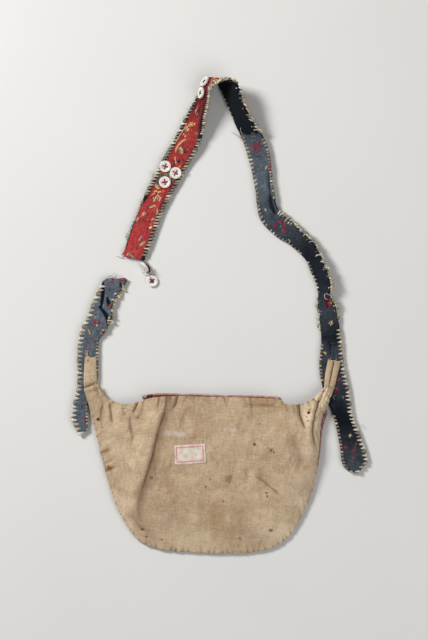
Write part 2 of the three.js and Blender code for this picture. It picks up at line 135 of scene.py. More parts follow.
@dataclass(frozen=True)
class SmoothCurve:
    """Uniform Catmull-Rom curve through its points."""

    points: Array

    def at(self, share: Array) -> Array:
        """Points of the curve.

        Args:
            share: Shares of the way from the first point to the last, even in points.

        Returns:
            One point for each share.
        """
        inner = np.asarray(self.points, dtype=float)
        ends = np.vstack([2 * inner[0] - inner[1], inner, 2 * inner[-1] - inner[-2]])
        last = len(inner) - 1
        place = np.clip(np.asarray(share, dtype=float), 0, 1) * last
        index = np.minimum(place.astype(int), last - 1)
        w = (place - index)[..., None]
        before, start, end, after = (ends[index + step] for step in range(4))
        out_slope = 0.5 * (end - before)
        in_slope = 0.5 * (after - start)
        cubic = 2 * start - 2 * end + out_slope + in_slope
        square = -3 * start + 3 * end - 2 * out_slope - in_slope
        return ((cubic * w + square) * w + out_slope) * w + start


@dataclass(frozen=True)
class SoftNoise:
    """Smooth seeded noise between -1 and 1 over a plane."""

    seed: int
    size: float
    lattice: int = 128

    def at(self, x: Array, y: Array | float = 0) -> Array:
        """Noise at plane points.

        Args:
            x: First coordinate in millimetres.
            y: Second coordinate in millimetres.

        Returns:
            A value for each point.
        """
        knots = np.random.default_rng(self.seed).uniform(-1, 1, (self.lattice, self.lattice))
        across, up = np.broadcast_arrays(np.asarray(x) / self.size, np.asarray(y) / self.size)
        col = np.floor(across).astype(int)
        row = np.floor(up).astype(int)
        ease = [part**3 * (part * (part * 6 - 15) + 10) for part in (across - col, up - row)]
        corner = [
            [knots[(row + j) % self.lattice, (col + i) % self.lattice] for i in (0, 1)] for j in (0, 1)
        ]
        low = corner[0][0] + (corner[0][1] - corner[0][0]) * ease[0]
        high = corner[1][0] + (corner[1][1] - corner[1][0]) * ease[0]
        return low + (high - low) * ease[1]


def crumple(seed: int, size: float, x: Array, y: Array) -> Array:
    """Thin wandering creases, 0 to -1 deep, that come and go over a cloth.

    Args:
        seed: Seed of their course.
        size: Distance between them in millimetres.
        x: First coordinate in millimetres.
        y: Second coordinate in millimetres.

    Returns:
        The depth for each point.
    """
    course = SoftNoise(seed, size).at(x, y) + 0.25 * SoftNoise(seed + 1, 0.35 * size).at(x, y)
    shown = smooth_step(SoftNoise(seed + 2, 1.3 * size).at(x, y), -0.1, 0.5)
    return -bell(course, 0, 0.07) * shown


def ridged(seed: int, size: float, x: Array, y: Array) -> Array:
    """Wandering ridges with narrow crests, 0 to 1 high, as in cloth that was pulled."""
    return (1 - np.abs(SoftNoise(seed, size).at(x, y))) ** 2


@dataclass(frozen=True)
class Fold:
    """Crease in a cloth, drawn downwards in the photograph.

    It stands up on the left of its line and dips on the right. Its darkness number is the painted shade of
    the valley beside the line, and spread is that valley's half width.
    """

    route: tuple[float, ...]
    rise: float
    dip: float
    left: float
    right: float
    shade_and_grime: float = 0
    spread: float = 1.2
    edge: float = 0.5
    lead: float = 0
    fade: float = 0.45

    def place(self, x: Array, y: Array) -> tuple[Array, Array]:
        """Signed distance from the line, and the share of the way along it.

        Args:
            x: Plan x in millimetres.
            y: Plan y in millimetres.

        Returns:
            Distance, positive on the right in the photograph, and share along the line.
        """
        line = PHOTO.plan(self.route)
        steps = np.diff(line, axis=0)
        lengths = np.hypot(steps[:, 0], steps[:, 1])
        distance = np.full(np.shape(x), 1e9)
        along = np.zeros(np.shape(x))
        passed = 0
        for (x0, y0), step, length in zip(line[:-1], steps, lengths):
            way = step / length
            ahead = np.clip((x - x0) * way[0] + (y - y0) * way[1], 0, length)
            away = np.hypot(x - x0 - ahead * way[0], y - y0 - ahead * way[1])
            side = np.where(way[0] * (y - y0) - way[1] * (x - x0) < 0, -1, 1)
            nearer = away < np.abs(distance)
            distance = np.where(nearer, side * away, distance)
            along = np.where(nearer, (passed + ahead) / lengths.sum(), along)
            passed += length
        return distance, along

    def strength(self, along: Array) -> Array:
        """How strong the fold is at a share of its length."""
        grown = smooth_step(along, 0, self.lead) if self.lead else 1
        return grown * (1 - smooth_step(along, self.fade, 1))

    def height(self, x: Array, y: Array) -> Array:
        """Height that the fold adds at plan points.

        Args:
            x: Plan x in millimetres.
            y: Plan y in millimetres.

        Returns:
            One height for each point.
        """
        distance, along = self.place(x, y)
        over = 1 / (1 + np.exp(-np.clip(distance / self.edge, -40, 40)))
        raised = self.rise * bell(distance, 0, self.left) * (1 - over)
        dipped = self.dip * bell(distance, 0, self.right) * over
        return self.strength(along) * (raised - dipped)

    def darkening(self, x: Array, y: Array) -> Array:
        """Painted shade of the fold's valley at plan points.

        Args:
            x: Plan x in millimetres.
            y: Plan y in millimetres.

        Returns:
            Darkness from 0 to 1 for each point.
        """
        if self.shade_and_grime == 0:
            return np.zeros(np.shape(x))
        distance, along = self.place(x, y)
        reach = np.where(distance < self.spread, 0.55 * self.spread, 1.25 * self.spread)
        return self.shade_and_grime * self.strength(along) * bell(distance, self.spread, reach)


def fold_height(folds: Iterable[Fold], x: Array, y: Array) -> Array:
    """Height that all folds add at plan points."""
    return sum((fold.height(x, y) for fold in folds), np.zeros(np.shape(x)))


def fold_shade(folds: Iterable[Fold], x: Array, y: Array) -> Array:
    """Painted shade of the fold valleys at plan points, from 0 to 1.

    Args:
        folds: The cloth's folds.
        x: Plan x in millimetres.
        y: Plan y in millimetres.

    Returns:
        Darkness for each point.
    """
    clean = np.ones(np.shape(x))
    for fold in folds:
        clean = clean * (1 - fold.darkening(x, y))
    return 1 - clean


class NodeBoard:
    """One material's nodes, with short ways to add and join them."""

    def __init__(self, name: str) -> None:
        """Starts a material with an empty principled shader.

        Args:
            name: The material's name.
        """
        self.material = bpy.data.materials.new(name)
        self.material.use_nodes = True
        self.tree = self.material.node_tree
        self.tree.nodes.clear()
        self.shader = self.add("ShaderNodeBsdfPrincipled")
        output = self.add("ShaderNodeOutputMaterial")
        self.tree.links.new(self.shader.outputs["BSDF"], output.inputs["Surface"])

    def add(
        self, kind: str, feeds: dict[str | int, object] | None = None, **settings: object
    ) -> bpy.types.Node:
        """New node with some of its settings and inputs.

        Args:
            kind: Blender's name of the node type.
            feeds: Sockets or values for its inputs, by name or number.
            **settings: Values of its own settings.

        Returns:
            The node.
        """
        node = self.tree.nodes.new(kind)
        for name, value in settings.items():
            setattr(node, name, value)
        for name, value in (feeds or {}).items():
            self.feed(node.inputs[name], value)
        return node

    def feed(self, target: Socket, value: object) -> None:
        """Joins a socket to an input, or sets the input to a value.

        Args:
            target: The input.
            value: The socket to join, or the value to set.
        """
        if isinstance(value, Socket):
            self.tree.links.new(value, target)
        else:
            target.default_value = value

    def object_place(self) -> Socket:
        """Place on the piece, in metres."""
        return self.add("ShaderNodeTexCoord").outputs["Object"]

    def cloth_place(self) -> Socket:
        """Place along and across the cloth, in metres, from its own map."""
        return self.add("ShaderNodeTexCoord").outputs["UV"]

    def read(self, attribute: str) -> Socket:
        """Number stored on the mesh under a name."""
        return self.add("ShaderNodeAttribute", attribute_name=attribute).outputs["Fac"]

    def read_colour(self, attribute: str) -> Socket:
        """Colour stored on the mesh under a name."""
        return self.add("ShaderNodeAttribute", attribute_name=attribute).outputs["Color"]

    def stretched(self, place: Socket, scale: tuple[float, float, float]) -> Socket:
        """Place with each axis scaled."""
        return self.add("ShaderNodeMapping", {"Vector": place, "Scale": scale}).outputs["Vector"]

    def noise(self, place: Socket, scale: float, detail: float = 2) -> Socket:
        """Cloudy noise from 0 to 1."""
        feeds = {"Vector": place, "Scale": scale, "Detail": detail}
        return self.add("ShaderNodeTexNoise", feeds).outputs["Fac"]

    def threads(self, place: Socket, axis: str, pitch: float) -> Socket:
        """Even ridges across an axis, as threads of a weave, with a pitch in millimetres.

        Args:
            place: Place on the cloth.
            axis: X or Y.
            pitch: Distance between threads.

        Returns:
            Ridges from 0 to 1.
        """
        feeds = {"Vector": place, "Scale": math.pi / (10 * pitch * MM)}
        feeds |= {"Distortion": 1.2, "Detail": 1, "Detail Scale": 0.35}
        return self.add("ShaderNodeTexWave", feeds, bands_direction=axis).outputs["Fac"]

    def math(self, operation: str, first: object, second: object = 0) -> Socket:
        """Sum, product or other operation on two numbers."""
        return self.add("ShaderNodeMath", {0: first, 1: second}, operation=operation).outputs["Value"]

    def window(self, value: Socket, low: float, high: float, floor: float = 0, top: float = 1) -> Socket:
        """Value stretched from low and high to floor and top, and held there."""
        feeds = {"Value": value, "From Min": low, "From Max": high, "To Min": floor, "To Max": top}
        return self.add("ShaderNodeMapRange", feeds, interpolation_type="SMOOTHSTEP").outputs["Result"]

    def blend(self, share: object, first: object, second: object, mode: str = "MIX") -> Socket:
        """Colour between two, or the two put together in another way."""
        feeds = {0: share, 6: first, 7: second}
        return self.add("ShaderNodeMix", feeds, data_type="RGBA", blend_type=mode).outputs[2]

    def distance(self, place: Socket, spot: tuple[float, float, float]) -> Socket:
        """Distance in metres from a spot on the piece."""
        return self.add("ShaderNodeVectorMath", {0: place, 1: spot}, operation="DISTANCE").outputs["Value"]

    def bump(self, height: Socket, depth: float, strength: float) -> None:
        """Relief of a depth in millimetres on the shader."""
        feeds = {"Height": height, "Distance": depth * MM, "Strength": strength}
        self.feed(self.shader.inputs["Normal"], self.add("ShaderNodeBump", feeds).outputs["Normal"])

    def set_shader(self, **values: float) -> None:
        """Numbers of the shader's own sockets, named with _ for a space."""
        for name, value in values.items():
            self.shader.inputs[name.replace("_", " ")].default_value = value


class Layout(Enum):
    """Which place a cloth's pattern follows."""

    TABLE = "object"
    CLOTH = "map"


@dataclass(frozen=True)
class Spot:
    """Round mark on a cloth: its pixel, its radius in millimetres, its strength, and its width as a share."""

    x: float
    y: float
    radius: float
    strength: float
    long: float = 1


def spots_of(*rows: tuple[float, ...]) -> tuple[Spot, ...]:
    """Marks from rows of their numbers."""
    return tuple(Spot(*row) for row in rows)


@dataclass(frozen=True)
class WovenFinish:
    """Woven cloth: thread colours, slubs, worn patches, and the relief of its threads."""

    name: str
    ground: Colour
    pale: Colour
    dark: Colour
    pitch: float = 0.62
    relief: float = 0.22
    sheen: float = 0.15
    roughness: float = 0.92
    layout: Layout = Layout.TABLE
    patch_scale: float = 42
    mottle_scale: float = 150
    grain_scale: float = 760
    slub_scale: float = 900
    slub_stretch: float = 0.14
    patch_dark: Window = (0.62, 0.36, 0, 0.36)
    mottle_dark: Window = (0.5, 0.72, 0, 0.3)
    mottle_pale: Window = (0.5, 0.28, 0, 0.32)
    streak_pale: Window = (0.5, 0.72, 0)
    streak_dark: Window = (0.5, 0.28, 0)
    streak_share: float = 0.6
    weave_dark: Window = (0.55, 0.05, 0, 0.3)
    bump: float = 0.75
    wear: float = 0.6
    gloss: float = 0.2

    def material(self) -> Material:
        """Builds the finish.

        Returns:
            The material with its colour, roughness and relief.
        """
        board = NodeBoard(self.name)
        place = board.object_place() if self.layout is Layout.TABLE else board.cloth_place()
        warp = board.threads(place, "X", self.pitch)
        weft = board.threads(place, "Y", self.pitch)
        weave = board.math("MAXIMUM", warp, weft)
        along = board.noise(board.stretched(place, (1, self.slub_stretch, 1)), self.slub_scale, 3)
        across = board.noise(board.stretched(place, (self.slub_stretch, 1, 1)), self.slub_scale, 3)
        slub = board.math("MAXIMUM", along, across)
        patch = board.noise(place, self.patch_scale, 4)
        mottle = board.noise(place, self.mottle_scale, 5)
        grain = board.noise(place, self.grain_scale, 4)
        colour = board.blend(board.window(patch, *self.patch_dark), self.plain(board, place), self.dark)
        colour = board.blend(board.window(mottle, *self.mottle_dark), colour, self.dark)
        colour = board.blend(board.window(mottle, *self.mottle_pale), colour, self.pale)
        worn = self.streak_share * self.wear
        for streak in (along, across, grain):
            colour = board.blend(board.window(streak, *self.streak_pale, worn), colour, self.pale)
            colour = board.blend(board.window(streak, *self.streak_dark, worn), colour, self.dark)
        colour = board.blend(board.window(weave, *self.weave_dark), colour, self.dark)
        colour = self.marks(board, place, colour)
        board.feed(board.shader.inputs["Base Color"], colour)
        height = board.math("ADD", weave, board.math("ADD", slub, board.math("MULTIPLY", grain, 2)))
        board.bump(height, self.relief, self.bump)
        board.set_shader(Roughness=self.roughness, Sheen_Weight=self.sheen, Sheen_Roughness=0.5)
        board.set_shader(Specular_IOR_Level=self.gloss)
        return board.material

    def plain(self, board: NodeBoard, place: Socket) -> Socket | Colour:
        """Colour of the cloth before its wear."""
        return self.ground

    def marks(self, board: NodeBoard, place: Socket, colour: Socket) -> Socket:
        """Marks that lie on the plain cloth; none here."""
        return colour


@dataclass(frozen=True)
class StainedCotton(WovenFinish):
    """Undyed cotton with painted shade in its creases and pucker valleys, pools of painted light, small dark
    spots, brown tints and pale smears.
    """

    # Colour of the painted shade in creases and pucker valleys.
    shade_and_grime: Colour = linear(86, 60, 34)
    ink: Colour = linear(72, 40, 16)
    rust: Colour = linear(158, 118, 74)
    chalk: Colour = linear(206, 200, 190)
    # Colour of the pools of painted light.
    lit_colour: Colour = linear(230, 208, 176)
    rim_scale: float = 700
    light_rim: float = 9
    tint_rim: float = 5
    smear_rim: float = 4
    smear_scale: float = 520
    smear_breaks: Window = (0.3, 0.6, 0.35, 1)
    speck_scale: float = 460
    specks: Window = (0.68, 0.78, 0, 0.55)
    spot_rim: float = 1.9
    spot_core: float = 0.5
    # Pools of painted light, where the cotton should look more brightly lit.
    painted_light: tuple[Spot, ...] = ()
    spots: tuple[Spot, ...] = ()
    tints: tuple[Spot, ...] = ()
    smears: tuple[Spot, ...] = ()

    def cover(
        self, board: NodeBoard, place: Socket, spots: Sequence[Spot], ragged: float, core: float = 0.3
    ) -> Socket:
        """How much of the marks covers each place.

        Args:
            board: The material's nodes.
            place: Place on the piece.
            spots: The marks, which are drawn as one mask.
            ragged: How ragged their rims are, in millimetres.
            core: Share of the radius within which a mark is full.

        Returns:
            The mask from 0 to 1.
        """
        uneven = board.math("SUBTRACT", board.noise(place, self.rim_scale, 3), 0.5)
        wobble = board.math("MULTIPLY", uneven, ragged * MM)
        mask: object = 0
        for spot in spots:
            x, y = (PHOTO.plan((spot.x, spot.y))[0] * MM).tolist()
            flat = board.stretched(place, (1 / spot.long, 1, 0))
            away = board.math("ADD", board.distance(flat, (x / spot.long, y, 0)), wobble)
            radius = spot.radius * MM
            mask = board.math("MAXIMUM", mask, board.window(away, radius, core * radius, 0, spot.strength))
        return mask

    def plain(self, board: NodeBoard, place: Socket) -> Socket | Colour:
        """Cotton, brighter with painted light over its pools."""
        return board.blend(self.cover(board, place, self.painted_light, self.light_rim), self.ground, self.lit_colour)

    def marks(self, board: NodeBoard, place: Socket, colour: Socket) -> Socket:
        """Painted shade, spots, tints and smears over the plain cloth.

        Args:
            board: The material's nodes.
            place: Place on the piece.
            colour: The plain cloth's colour.

        Returns:
            The marked cloth's colour.
        """
        if self.tints:
            tinted = self.cover(board, place, self.tints, self.tint_rim)
            colour = board.blend(tinted, colour, self.rust)
        if self.smears:
            broken = board.window(board.noise(place, self.smear_scale, 5), *self.smear_breaks)
            smeared = self.cover(board, place, self.smears, self.smear_rim)
            colour = board.blend(board.math("MULTIPLY", smeared, broken), colour, self.chalk)
        # Painted shade of creases and pucker valleys, stored on the mesh.
        colour = board.blend(board.read("shade_and_grime"), colour, self.shade_and_grime)
        specks = board.window(board.noise(place, self.speck_scale, 1), *self.specks)
        colour = board.blend(specks, colour, self.rust)
        if self.spots:
            spotted = self.cover(board, place, self.spots, self.spot_rim, self.spot_core)
            colour = board.blend(spotted, colour, self.ink)
        return colour


@dataclass(frozen=True)
class StrapCloth(WovenFinish):
    """Strap cloth with its hem colour, painted shade in its creases, slits and shaded stretches, and one
    near-black stretch.
    """

    hem: Colour = linear(38, 42, 42)
    # Colour of the painted shade, also used for the near-black stretch of cloth.
    shade_and_grime: Colour = linear(9, 13, 20)

    def marks(self, board: NodeBoard, place: Socket, colour: Socket) -> Socket:
        """Hem colour, then painted shade and the near-black stretch, over the plain cloth."""
        colour = board.blend(board.read("hem"), colour, self.hem)
        # Painted shade and the near-black stretch, from the mesh.
        return board.blend(board.read("shade_and_grime"), colour, self.shade_and_grime)


@dataclass(frozen=True)
class ThreadFinish:
    """Sewing and embroidery thread, coloured by the mesh, with a twist and a little fluff."""

    name: str
    roughness: float = 0.75
    sheen: float = 0.3
    gloss: float = 0.3
    soil: Colour = linear(92, 74, 54)
    soil_share: float = 0.62
    mottle_scale: float = 800
    mottle_clean: Window = (0.3, 0.62)
    fluff_scale: float = 4200
    fluff_depth: float = 0.15
    bump: float = 0.7

    def material(self) -> Material:
        """Builds the finish.

        Returns:
            The material with its colour from the mesh and a twisted relief.
        """
        board = NodeBoard(self.name)
        place = board.object_place()
        mottle = board.noise(place, self.mottle_scale, 3)
        fluff = board.noise(place, self.fluff_scale, 2)
        own = board.read_colour("thread")
        soiled = board.blend(self.soil_share, own, self.soil, "MULTIPLY")
        colour = board.blend(board.window(mottle, *self.mottle_clean), soiled, own)
        board.feed(board.shader.inputs["Base Color"], colour)
        board.bump(fluff, self.fluff_depth, self.bump)
        board.set_shader(Roughness=self.roughness, Sheen_Weight=self.sheen, Sheen_Roughness=0.4)
        board.set_shader(Specular_IOR_Level=self.gloss)
        return board.material


@dataclass(frozen=True)
class ButtonFinish:
    """Glossy white button, a little yellowed, with painted shade and grime in its dish."""

    name: str
    ground: Colour = linear(212, 206, 202)
    yellowed: Colour = linear(190, 180, 168)
    shade_and_grime: Colour = linear(128, 112, 94)
    stain_scale: float = 260
    speck_scale: float = 1500
    yellowing: Window = (0.42, 0.7)
    dish_shade_and_grime: Window = (0.25, 0.7, 0.05, 0.3)
    roughness: Window = (0.3, 0.7, 0.3, 0.5)

    def material(self) -> Material:
        """Builds the finish.

        Returns:
            The material with its stains and gloss.
        """
        board = NodeBoard(self.name)
        place = board.object_place()
        darkening = board.noise(place, self.stain_scale, 4)
        speck = board.noise(place, self.speck_scale, 3)
        colour = board.blend(board.window(darkening, *self.yellowing), self.ground, self.yellowed)
        # Painted shade and grime inside the dish.
        dish = board.math("MULTIPLY", board.read("dish"), board.window(speck, *self.dish_shade_and_grime))
        colour = board.blend(dish, colour, self.shade_and_grime)
        board.feed(board.shader.inputs["Base Color"], colour)
        board.feed(board.shader.inputs["Roughness"], board.window(speck, *self.roughness))
        board.bump(speck, 0.05, 0.3)
        board.set_shader(Coat_Weight=0.25, Coat_Roughness=0.15)
        return board.material


@dataclass(frozen=True)
class PaperFinish:
    """Aged blank label paper with a plain dashed border."""

    name: str
    ground: Colour = linear(198, 187, 177)
    aged: Colour = linear(182, 162, 138)
    border: Colour = linear(182, 52, 70)
    width: float = 27.2
    height: float = 16.8
    inset: float = 2.1
    line: float = 1.2
    dash: float = 2.3
    stain_scale: float = 220
    ageing: Window = (0.4, 0.72)
    fibre_scale: float = 2400
    fibre_stretch: float = 0.4
    line_ends: Window = (0.65, 0.35)
    dash_ends: Window = (0.36, 0.26)
    breaks: Window = (0.3, 0.6, 0.6, 1)

    def material(self) -> Material:
        """Builds the finish.

        Returns:
            The material with its stains and border.
        """
        board = NodeBoard(self.name)
        place = board.cloth_place()
        parts = board.add("ShaderNodeSeparateXYZ", {"Vector": place})
        darkening = board.noise(place, self.stain_scale, 4)
        fibre = board.noise(board.stretched(place, (1, self.fibre_stretch, 1)), self.fibre_scale, 3)
        colour = board.blend(board.window(darkening, *self.ageing), self.ground, self.aged)
        frame = self.stripes(board, parts.outputs["X"], parts.outputs["Y"], fibre)
        colour = board.blend(frame, colour, self.border)
        board.feed(board.shader.inputs["Base Color"], colour)
        board.bump(board.math("ADD", fibre, darkening), 0.12, 0.6)
        board.set_shader(Roughness=0.85, Specular_IOR_Level=0.25)
        return board.material

    def stripes(self, board: NodeBoard, x: Socket, y: Socket, fibre: Socket) -> Socket:
        """Mask of the dashed border.

        Args:
            board: The material's nodes.
            x: Place along the paper in metres.
            y: Place up the paper in metres.
            fibre: Noise that breaks the colour.

        Returns:
            The mask from 0 to 1.
        """
        from_side = board.math("MINIMUM", x, board.math("SUBTRACT", self.width * MM, x))
        from_end = board.math("MINIMUM", y, board.math("SUBTRACT", self.height * MM, y))
        nearest = board.math("MINIMUM", from_side, from_end)
        off_line = board.math("ABSOLUTE", board.math("SUBTRACT", nearest, self.inset * MM))
        line = board.window(off_line, *(share * self.line * MM for share in self.line_ends))
        run = board.math("ADD", x, y)
        beat = board.math("FRACT", board.math("DIVIDE", run, self.dash * MM))
        dashes = board.window(board.math("ABSOLUTE", board.math("SUBTRACT", beat, 0.5)), *self.dash_ends)
        worn = board.window(fibre, *self.breaks)
        return board.math("MULTIPLY", board.math("MULTIPLY", line, dashes), worn)


@dataclass(frozen=True)
class FloorFinish:
    """Plain pale table surface."""

    name: str = "pale_floor"
    ground: Colour = linear(202, 201, 198)
    shade: Colour = linear(195, 193, 189)
    tone_scale: float = 9
    tones: Window = (0.2, 0.8, 0, 0.25)

    def material(self) -> Material:
        """Builds the finish.

        Returns:
            The matt pale material.
        """
        board = NodeBoard(self.name)
        tone = board.noise(board.object_place(), self.tone_scale, 3)
        colour = board.blend(board.window(tone, *self.tones), self.ground, self.shade)
        board.feed(board.shader.inputs["Base Color"], colour)
        board.set_shader(Roughness=0.9, Specular_IOR_Level=0.15)
        return board.material


def deselect_all() -> None:
    """Leaves nothing selected, so that an operator acts on new work alone."""
    bpy.ops.object.select_all(action="DESELECT")


def activate(piece: Piece) -> None:
    """Selects one piece alone and makes it active.

    Args:
        piece: The piece.
    """
    deselect_all()
    piece.select_set(True)
    bpy.context.view_layer.objects.active = piece


def dress(
    piece: Piece,
    name: str,
    material: Material,
    replaces: Sequence[str] = (),
) -> Piece:
    """Names a finished piece, gives it its material, and ties it to the frame.

    Args:
        piece: The finished piece.
        name: Its name.
        material: Its finish.
        replaces: CAD nodes that it stands for.

    Returns:
        The same piece.
    """
    piece.name = name
    piece.data.name = name
    piece.data.materials.clear()
    piece.data.materials.append(material)
    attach(piece, BODY)
    if replaces:
        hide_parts(*replaces)
    LOG.info("%s: %d faces", name, len(piece.data.polygons))
    return piece


def store_numbers(mesh: bpy.types.Mesh, name: str, values: Array) -> None:
    """Stores a number for each vertex under a name."""
    layer = mesh.attributes.new(name, "FLOAT", "POINT")
    layer.data.foreach_set("value", np.asarray(values, dtype=np.float32).ravel())


def cloth_sheet(
    points: Array,
    thickness: float,
    lay: Array,
    numbers: dict[str, Array] | None = None,
    holes: Array | None = None,
) -> Piece:
    """Sheet of cloth: a grid laid through its middle points and given its thickness.

    Args:
        points: Rows and columns of middle points in millimetres.
        thickness: Thickness of the cloth in millimetres.
        lay: Place of each point along and across the cloth in millimetres, for its map.
        numbers: Values to store on the mesh by name, one for each point.
        holes: Faces to leave out, one truth value for each.

    Returns:
        The piece, smooth shaded, at the origin.
    """
    rows, columns = points.shape[:2]
    deselect_all()
    bpy.ops.mesh.primitive_grid_add(x_subdivisions=columns - 1, y_subdivisions=rows - 1, size=1)
    piece = bpy.context.object
    mesh = piece.data
    mesh.vertices.foreach_set("co", (points.reshape(-1, 3) * MM).astype(np.float32).ravel())
    corner = np.zeros(len(mesh.loops), dtype=np.int32)
    mesh.loops.foreach_get("vertex_index", corner)
    mesh.uv_layers.active.data.foreach_set("uv", (lay.reshape(-1, 2)[corner] * MM).astype(np.float32).ravel())
    for name, values in (numbers or {}).items():
        store_numbers(mesh, name, values)
    if holes is not None:
        choose_faces(piece, holes.ravel())
        bpy.ops.mesh.delete(type="FACE")
        bpy.ops.object.mode_set(mode="OBJECT")
    mesh.update()
    wall = piece.modifiers.new("cloth", "SOLIDIFY")
    wall.thickness = thickness * MM
    wall.offset = 0
    bpy.ops.object.modifier_apply(modifier=wall.name)
    bpy.ops.object.shade_smooth()
    return piece


def choose_faces(piece: Piece, chosen: Array) -> None:
    """Goes into edit mode on the active piece with only the chosen faces selected.

    Args:
        piece: The active piece.
        chosen: One truth value for each face.
    """
    bpy.context.tool_settings.mesh_select_mode = (False, False, True)
    bpy.ops.object.mode_set(mode="EDIT")
    bpy.ops.mesh.select_all(action="DESELECT")
    bpy.ops.object.mode_set(mode="OBJECT")
    piece.data.polygons.foreach_set("select", chosen)
    bpy.ops.object.mode_set(mode="EDIT")


class Dye(Enum):
    """Thread colours."""

    CREAM = linear(168, 158, 137)
    WHITE = linear(204, 196, 180)
    ECRU = linear(132, 124, 107)
    DUSK = linear(108, 102, 90)
    STRAW = linear(216, 194, 146)
    PEACH = linear(222, 164, 118)
    RUST = linear(120, 66, 38)
    TAN = linear(192, 166, 122)
    YELLOW = linear(196, 172, 104)
    OLIVE = linear(120, 112, 72)
    ORANGE = linear(196, 104, 52)
    RED = linear(144, 32, 50)
    CORAL = linear(206, 98, 84)
    WINE = linear(104, 26, 38)
    ROSE = linear(176, 96, 106)
    UMBER = linear(58, 36, 34)
    LILAC = linear(178, 150, 168)
    NIGHT = linear(26, 26, 40)
    BLUE = linear(74, 84, 104)
    GREY = linear(150, 146, 140)
    HEMP = linear(150, 124, 92)


class ThreadWork:
    """Many short threads gathered into one mesh, each a small closed tube with its own dye."""

    def __init__(self) -> None:
        """Starts with no thread."""
        self.points: list[Array] = []
        self.faces: list[list[int]] = []
        self.dyes: list[Array] = []
        self.count = 0

    def lay(
        self,
        path: Array,
        radius: Array | float,
        dye: Dye,
        up: Array | None = None,
        flat: float = 1,
        sides: int = 5,
    ) -> None:
        """Adds a thread.

        Args:
            path: Points along it in millimetres.
            radius: Half width at each point, or everywhere.
            dye: Its colour.
            up: Direction away from the cloth at each point, where the thread is flattened onto one.
            flat: Height of the thread as a share of its width.
            sides: Sides of the tube.
        """
        path = np.asarray(path, dtype=float)
        rings = len(path)
        way = unit(np.gradient(path, axis=0))
        if up is None:
            up = np.broadcast_to(np.linalg.svd(path - path.mean(axis=0))[2][2], path.shape)
        side = unit(np.cross(way, up))
        rise = np.cross(side, way)
        turn = 2 * math.pi * np.arange(sides) / sides
        width = np.broadcast_to(np.asarray(radius, dtype=float), (rings,))[:, None, None]
        wide = side[:, None, :] * np.cos(turn)[None, :, None]
        tall = rise[:, None, :] * np.sin(turn)[None, :, None] * flat
        ring = path[:, None, :] + width * (wide + tall)
        ring[..., 2] = np.maximum(ring[..., 2], THREAD_FLOOR)
        start = self.count
        for k in range(rings - 1):
            low = start + k * sides
            for j in range(sides):
                step = (j + 1) % sides
                self.faces.append([low + j, low + sides + j, low + sides + step, low + step])
        self.faces.append([start + j for j in range(sides)])
        last = start + (rings - 1) * sides
        self.faces.append([last + sides - 1 - j for j in range(sides)])
        self.points.append(ring.reshape(-1, 3))
        self.dyes.append(np.tile(np.asarray(dye.value), (rings * sides, 1)))
        self.count += rings * sides

    def trail(self, rows: Sequence[tuple], count: int, sides: int, tip: float = 1) -> None:
        """Adds loose threads that wander from point to point.

        Args:
            rows: For each thread its dye, half width, and pixel x, pixel y and height of each point in turn.
            count: Points to lay along each.
            sides: Sides of the tube.
            tip: Width at the far end as a share.
        """
        for dye, radius, *route in rows:
            points = np.reshape(route, (-1, 3))
            path = np.column_stack([PHOTO.plan(points[:, :2]), points[:, 2]])
            thread = SmoothCurve(path).at(np.linspace(0, 1, count))
            self.lay(thread, radius * np.linspace(1, tip, count), dye, sides=sides)

    def build(self, name: str, material: Material, slot: str = "cream_thread") -> Piece:
        """Makes the piece.

        Args:
            name: Its name.
            material: Its finish.
            slot: Not used.

        Returns:
            The piece, tied to the frame.
        """
        mesh = bpy.data.meshes.new(name)
        mesh.from_pydata((np.vstack(self.points) * MM).tolist(), [], self.faces)
        layer = mesh.attributes.new("thread", "FLOAT_COLOR", "POINT")
        layer.data.foreach_set("color", np.vstack(self.dyes).astype(np.float32).ravel())
        mesh.update()
        piece = bpy.data.objects.new(name, mesh)
        bpy.context.collection.objects.link(piece)
        activate(piece)
        bpy.ops.object.mode_set(mode="EDIT")
        bpy.ops.mesh.select_all(action="SELECT")
        bpy.ops.mesh.normals_make_consistent(inside=False)
        bpy.ops.object.mode_set(mode="OBJECT")
        bpy.ops.object.shade_smooth()
        return dress(piece, name, material)


# Back of the pouch: mouth x y z, seam x y z and swell, from the left neck round to the right one.
BACK_SECTIONS = (
    (-107.2, -60.4, 4.6, -119.5, -64.5, 4.1, 1.6), (-103.5, -68, 5.2, -117, -72.5, 3.8, 2),
    (-96.5, -74.5, 6.2, -113, -87, 2.9, 2.6), (-87.5, -77.5, 7.2, -108.5, -104.5, 2.6, 3.2),
    (-79, -78, 7.8, -104, -123, 2.6, 3.6), (-69.5, -76, 8.2, -98, -145, 2.6, 3.8),
    (-60.5, -73, 8.6, -90, -169, 2.6, 4), (-48, -71.5, 8.8, -77, -191.5, 2.6, 4),
    (-40, -71.3, 9, -66, -200.8, 2.6, 4), (-31, -71.2, 9.1, -51, -205.6, 2.6, 4),
    (-16, -71.7, 9.2, -28, -207.7, 2.6, 4), (0, -72, 9.2, -2, -208.9, 2.6, 4),
    (18, -72.4, 9.1, 24, -208.4, 2.6, 4), (35, -73, 8.9, 46, -203.9, 2.6, 4),
    (51, -74.2, 8.6, 62, -191.5, 2.6, 3.9), (57.5, -78.4, 8.3, 74, -171, 2.6, 3.8),
    (66.5, -78.4, 8, 82, -150, 2.6, 3.7), (75.5, -76.5, 7.4, 87, -123, 2.6, 3.4),
    (81.5, -73.5, 6.6, 89.5, -99, 2.6, 2.8), (87, -68.5, 5.6, 94.7, -83, 3, 2.2),
    (91.3, -63, 4.8, 100.2, -63.6, 4.3, 1.6),
)
LAST_SECTION = len(BACK_SECTIONS) - 1

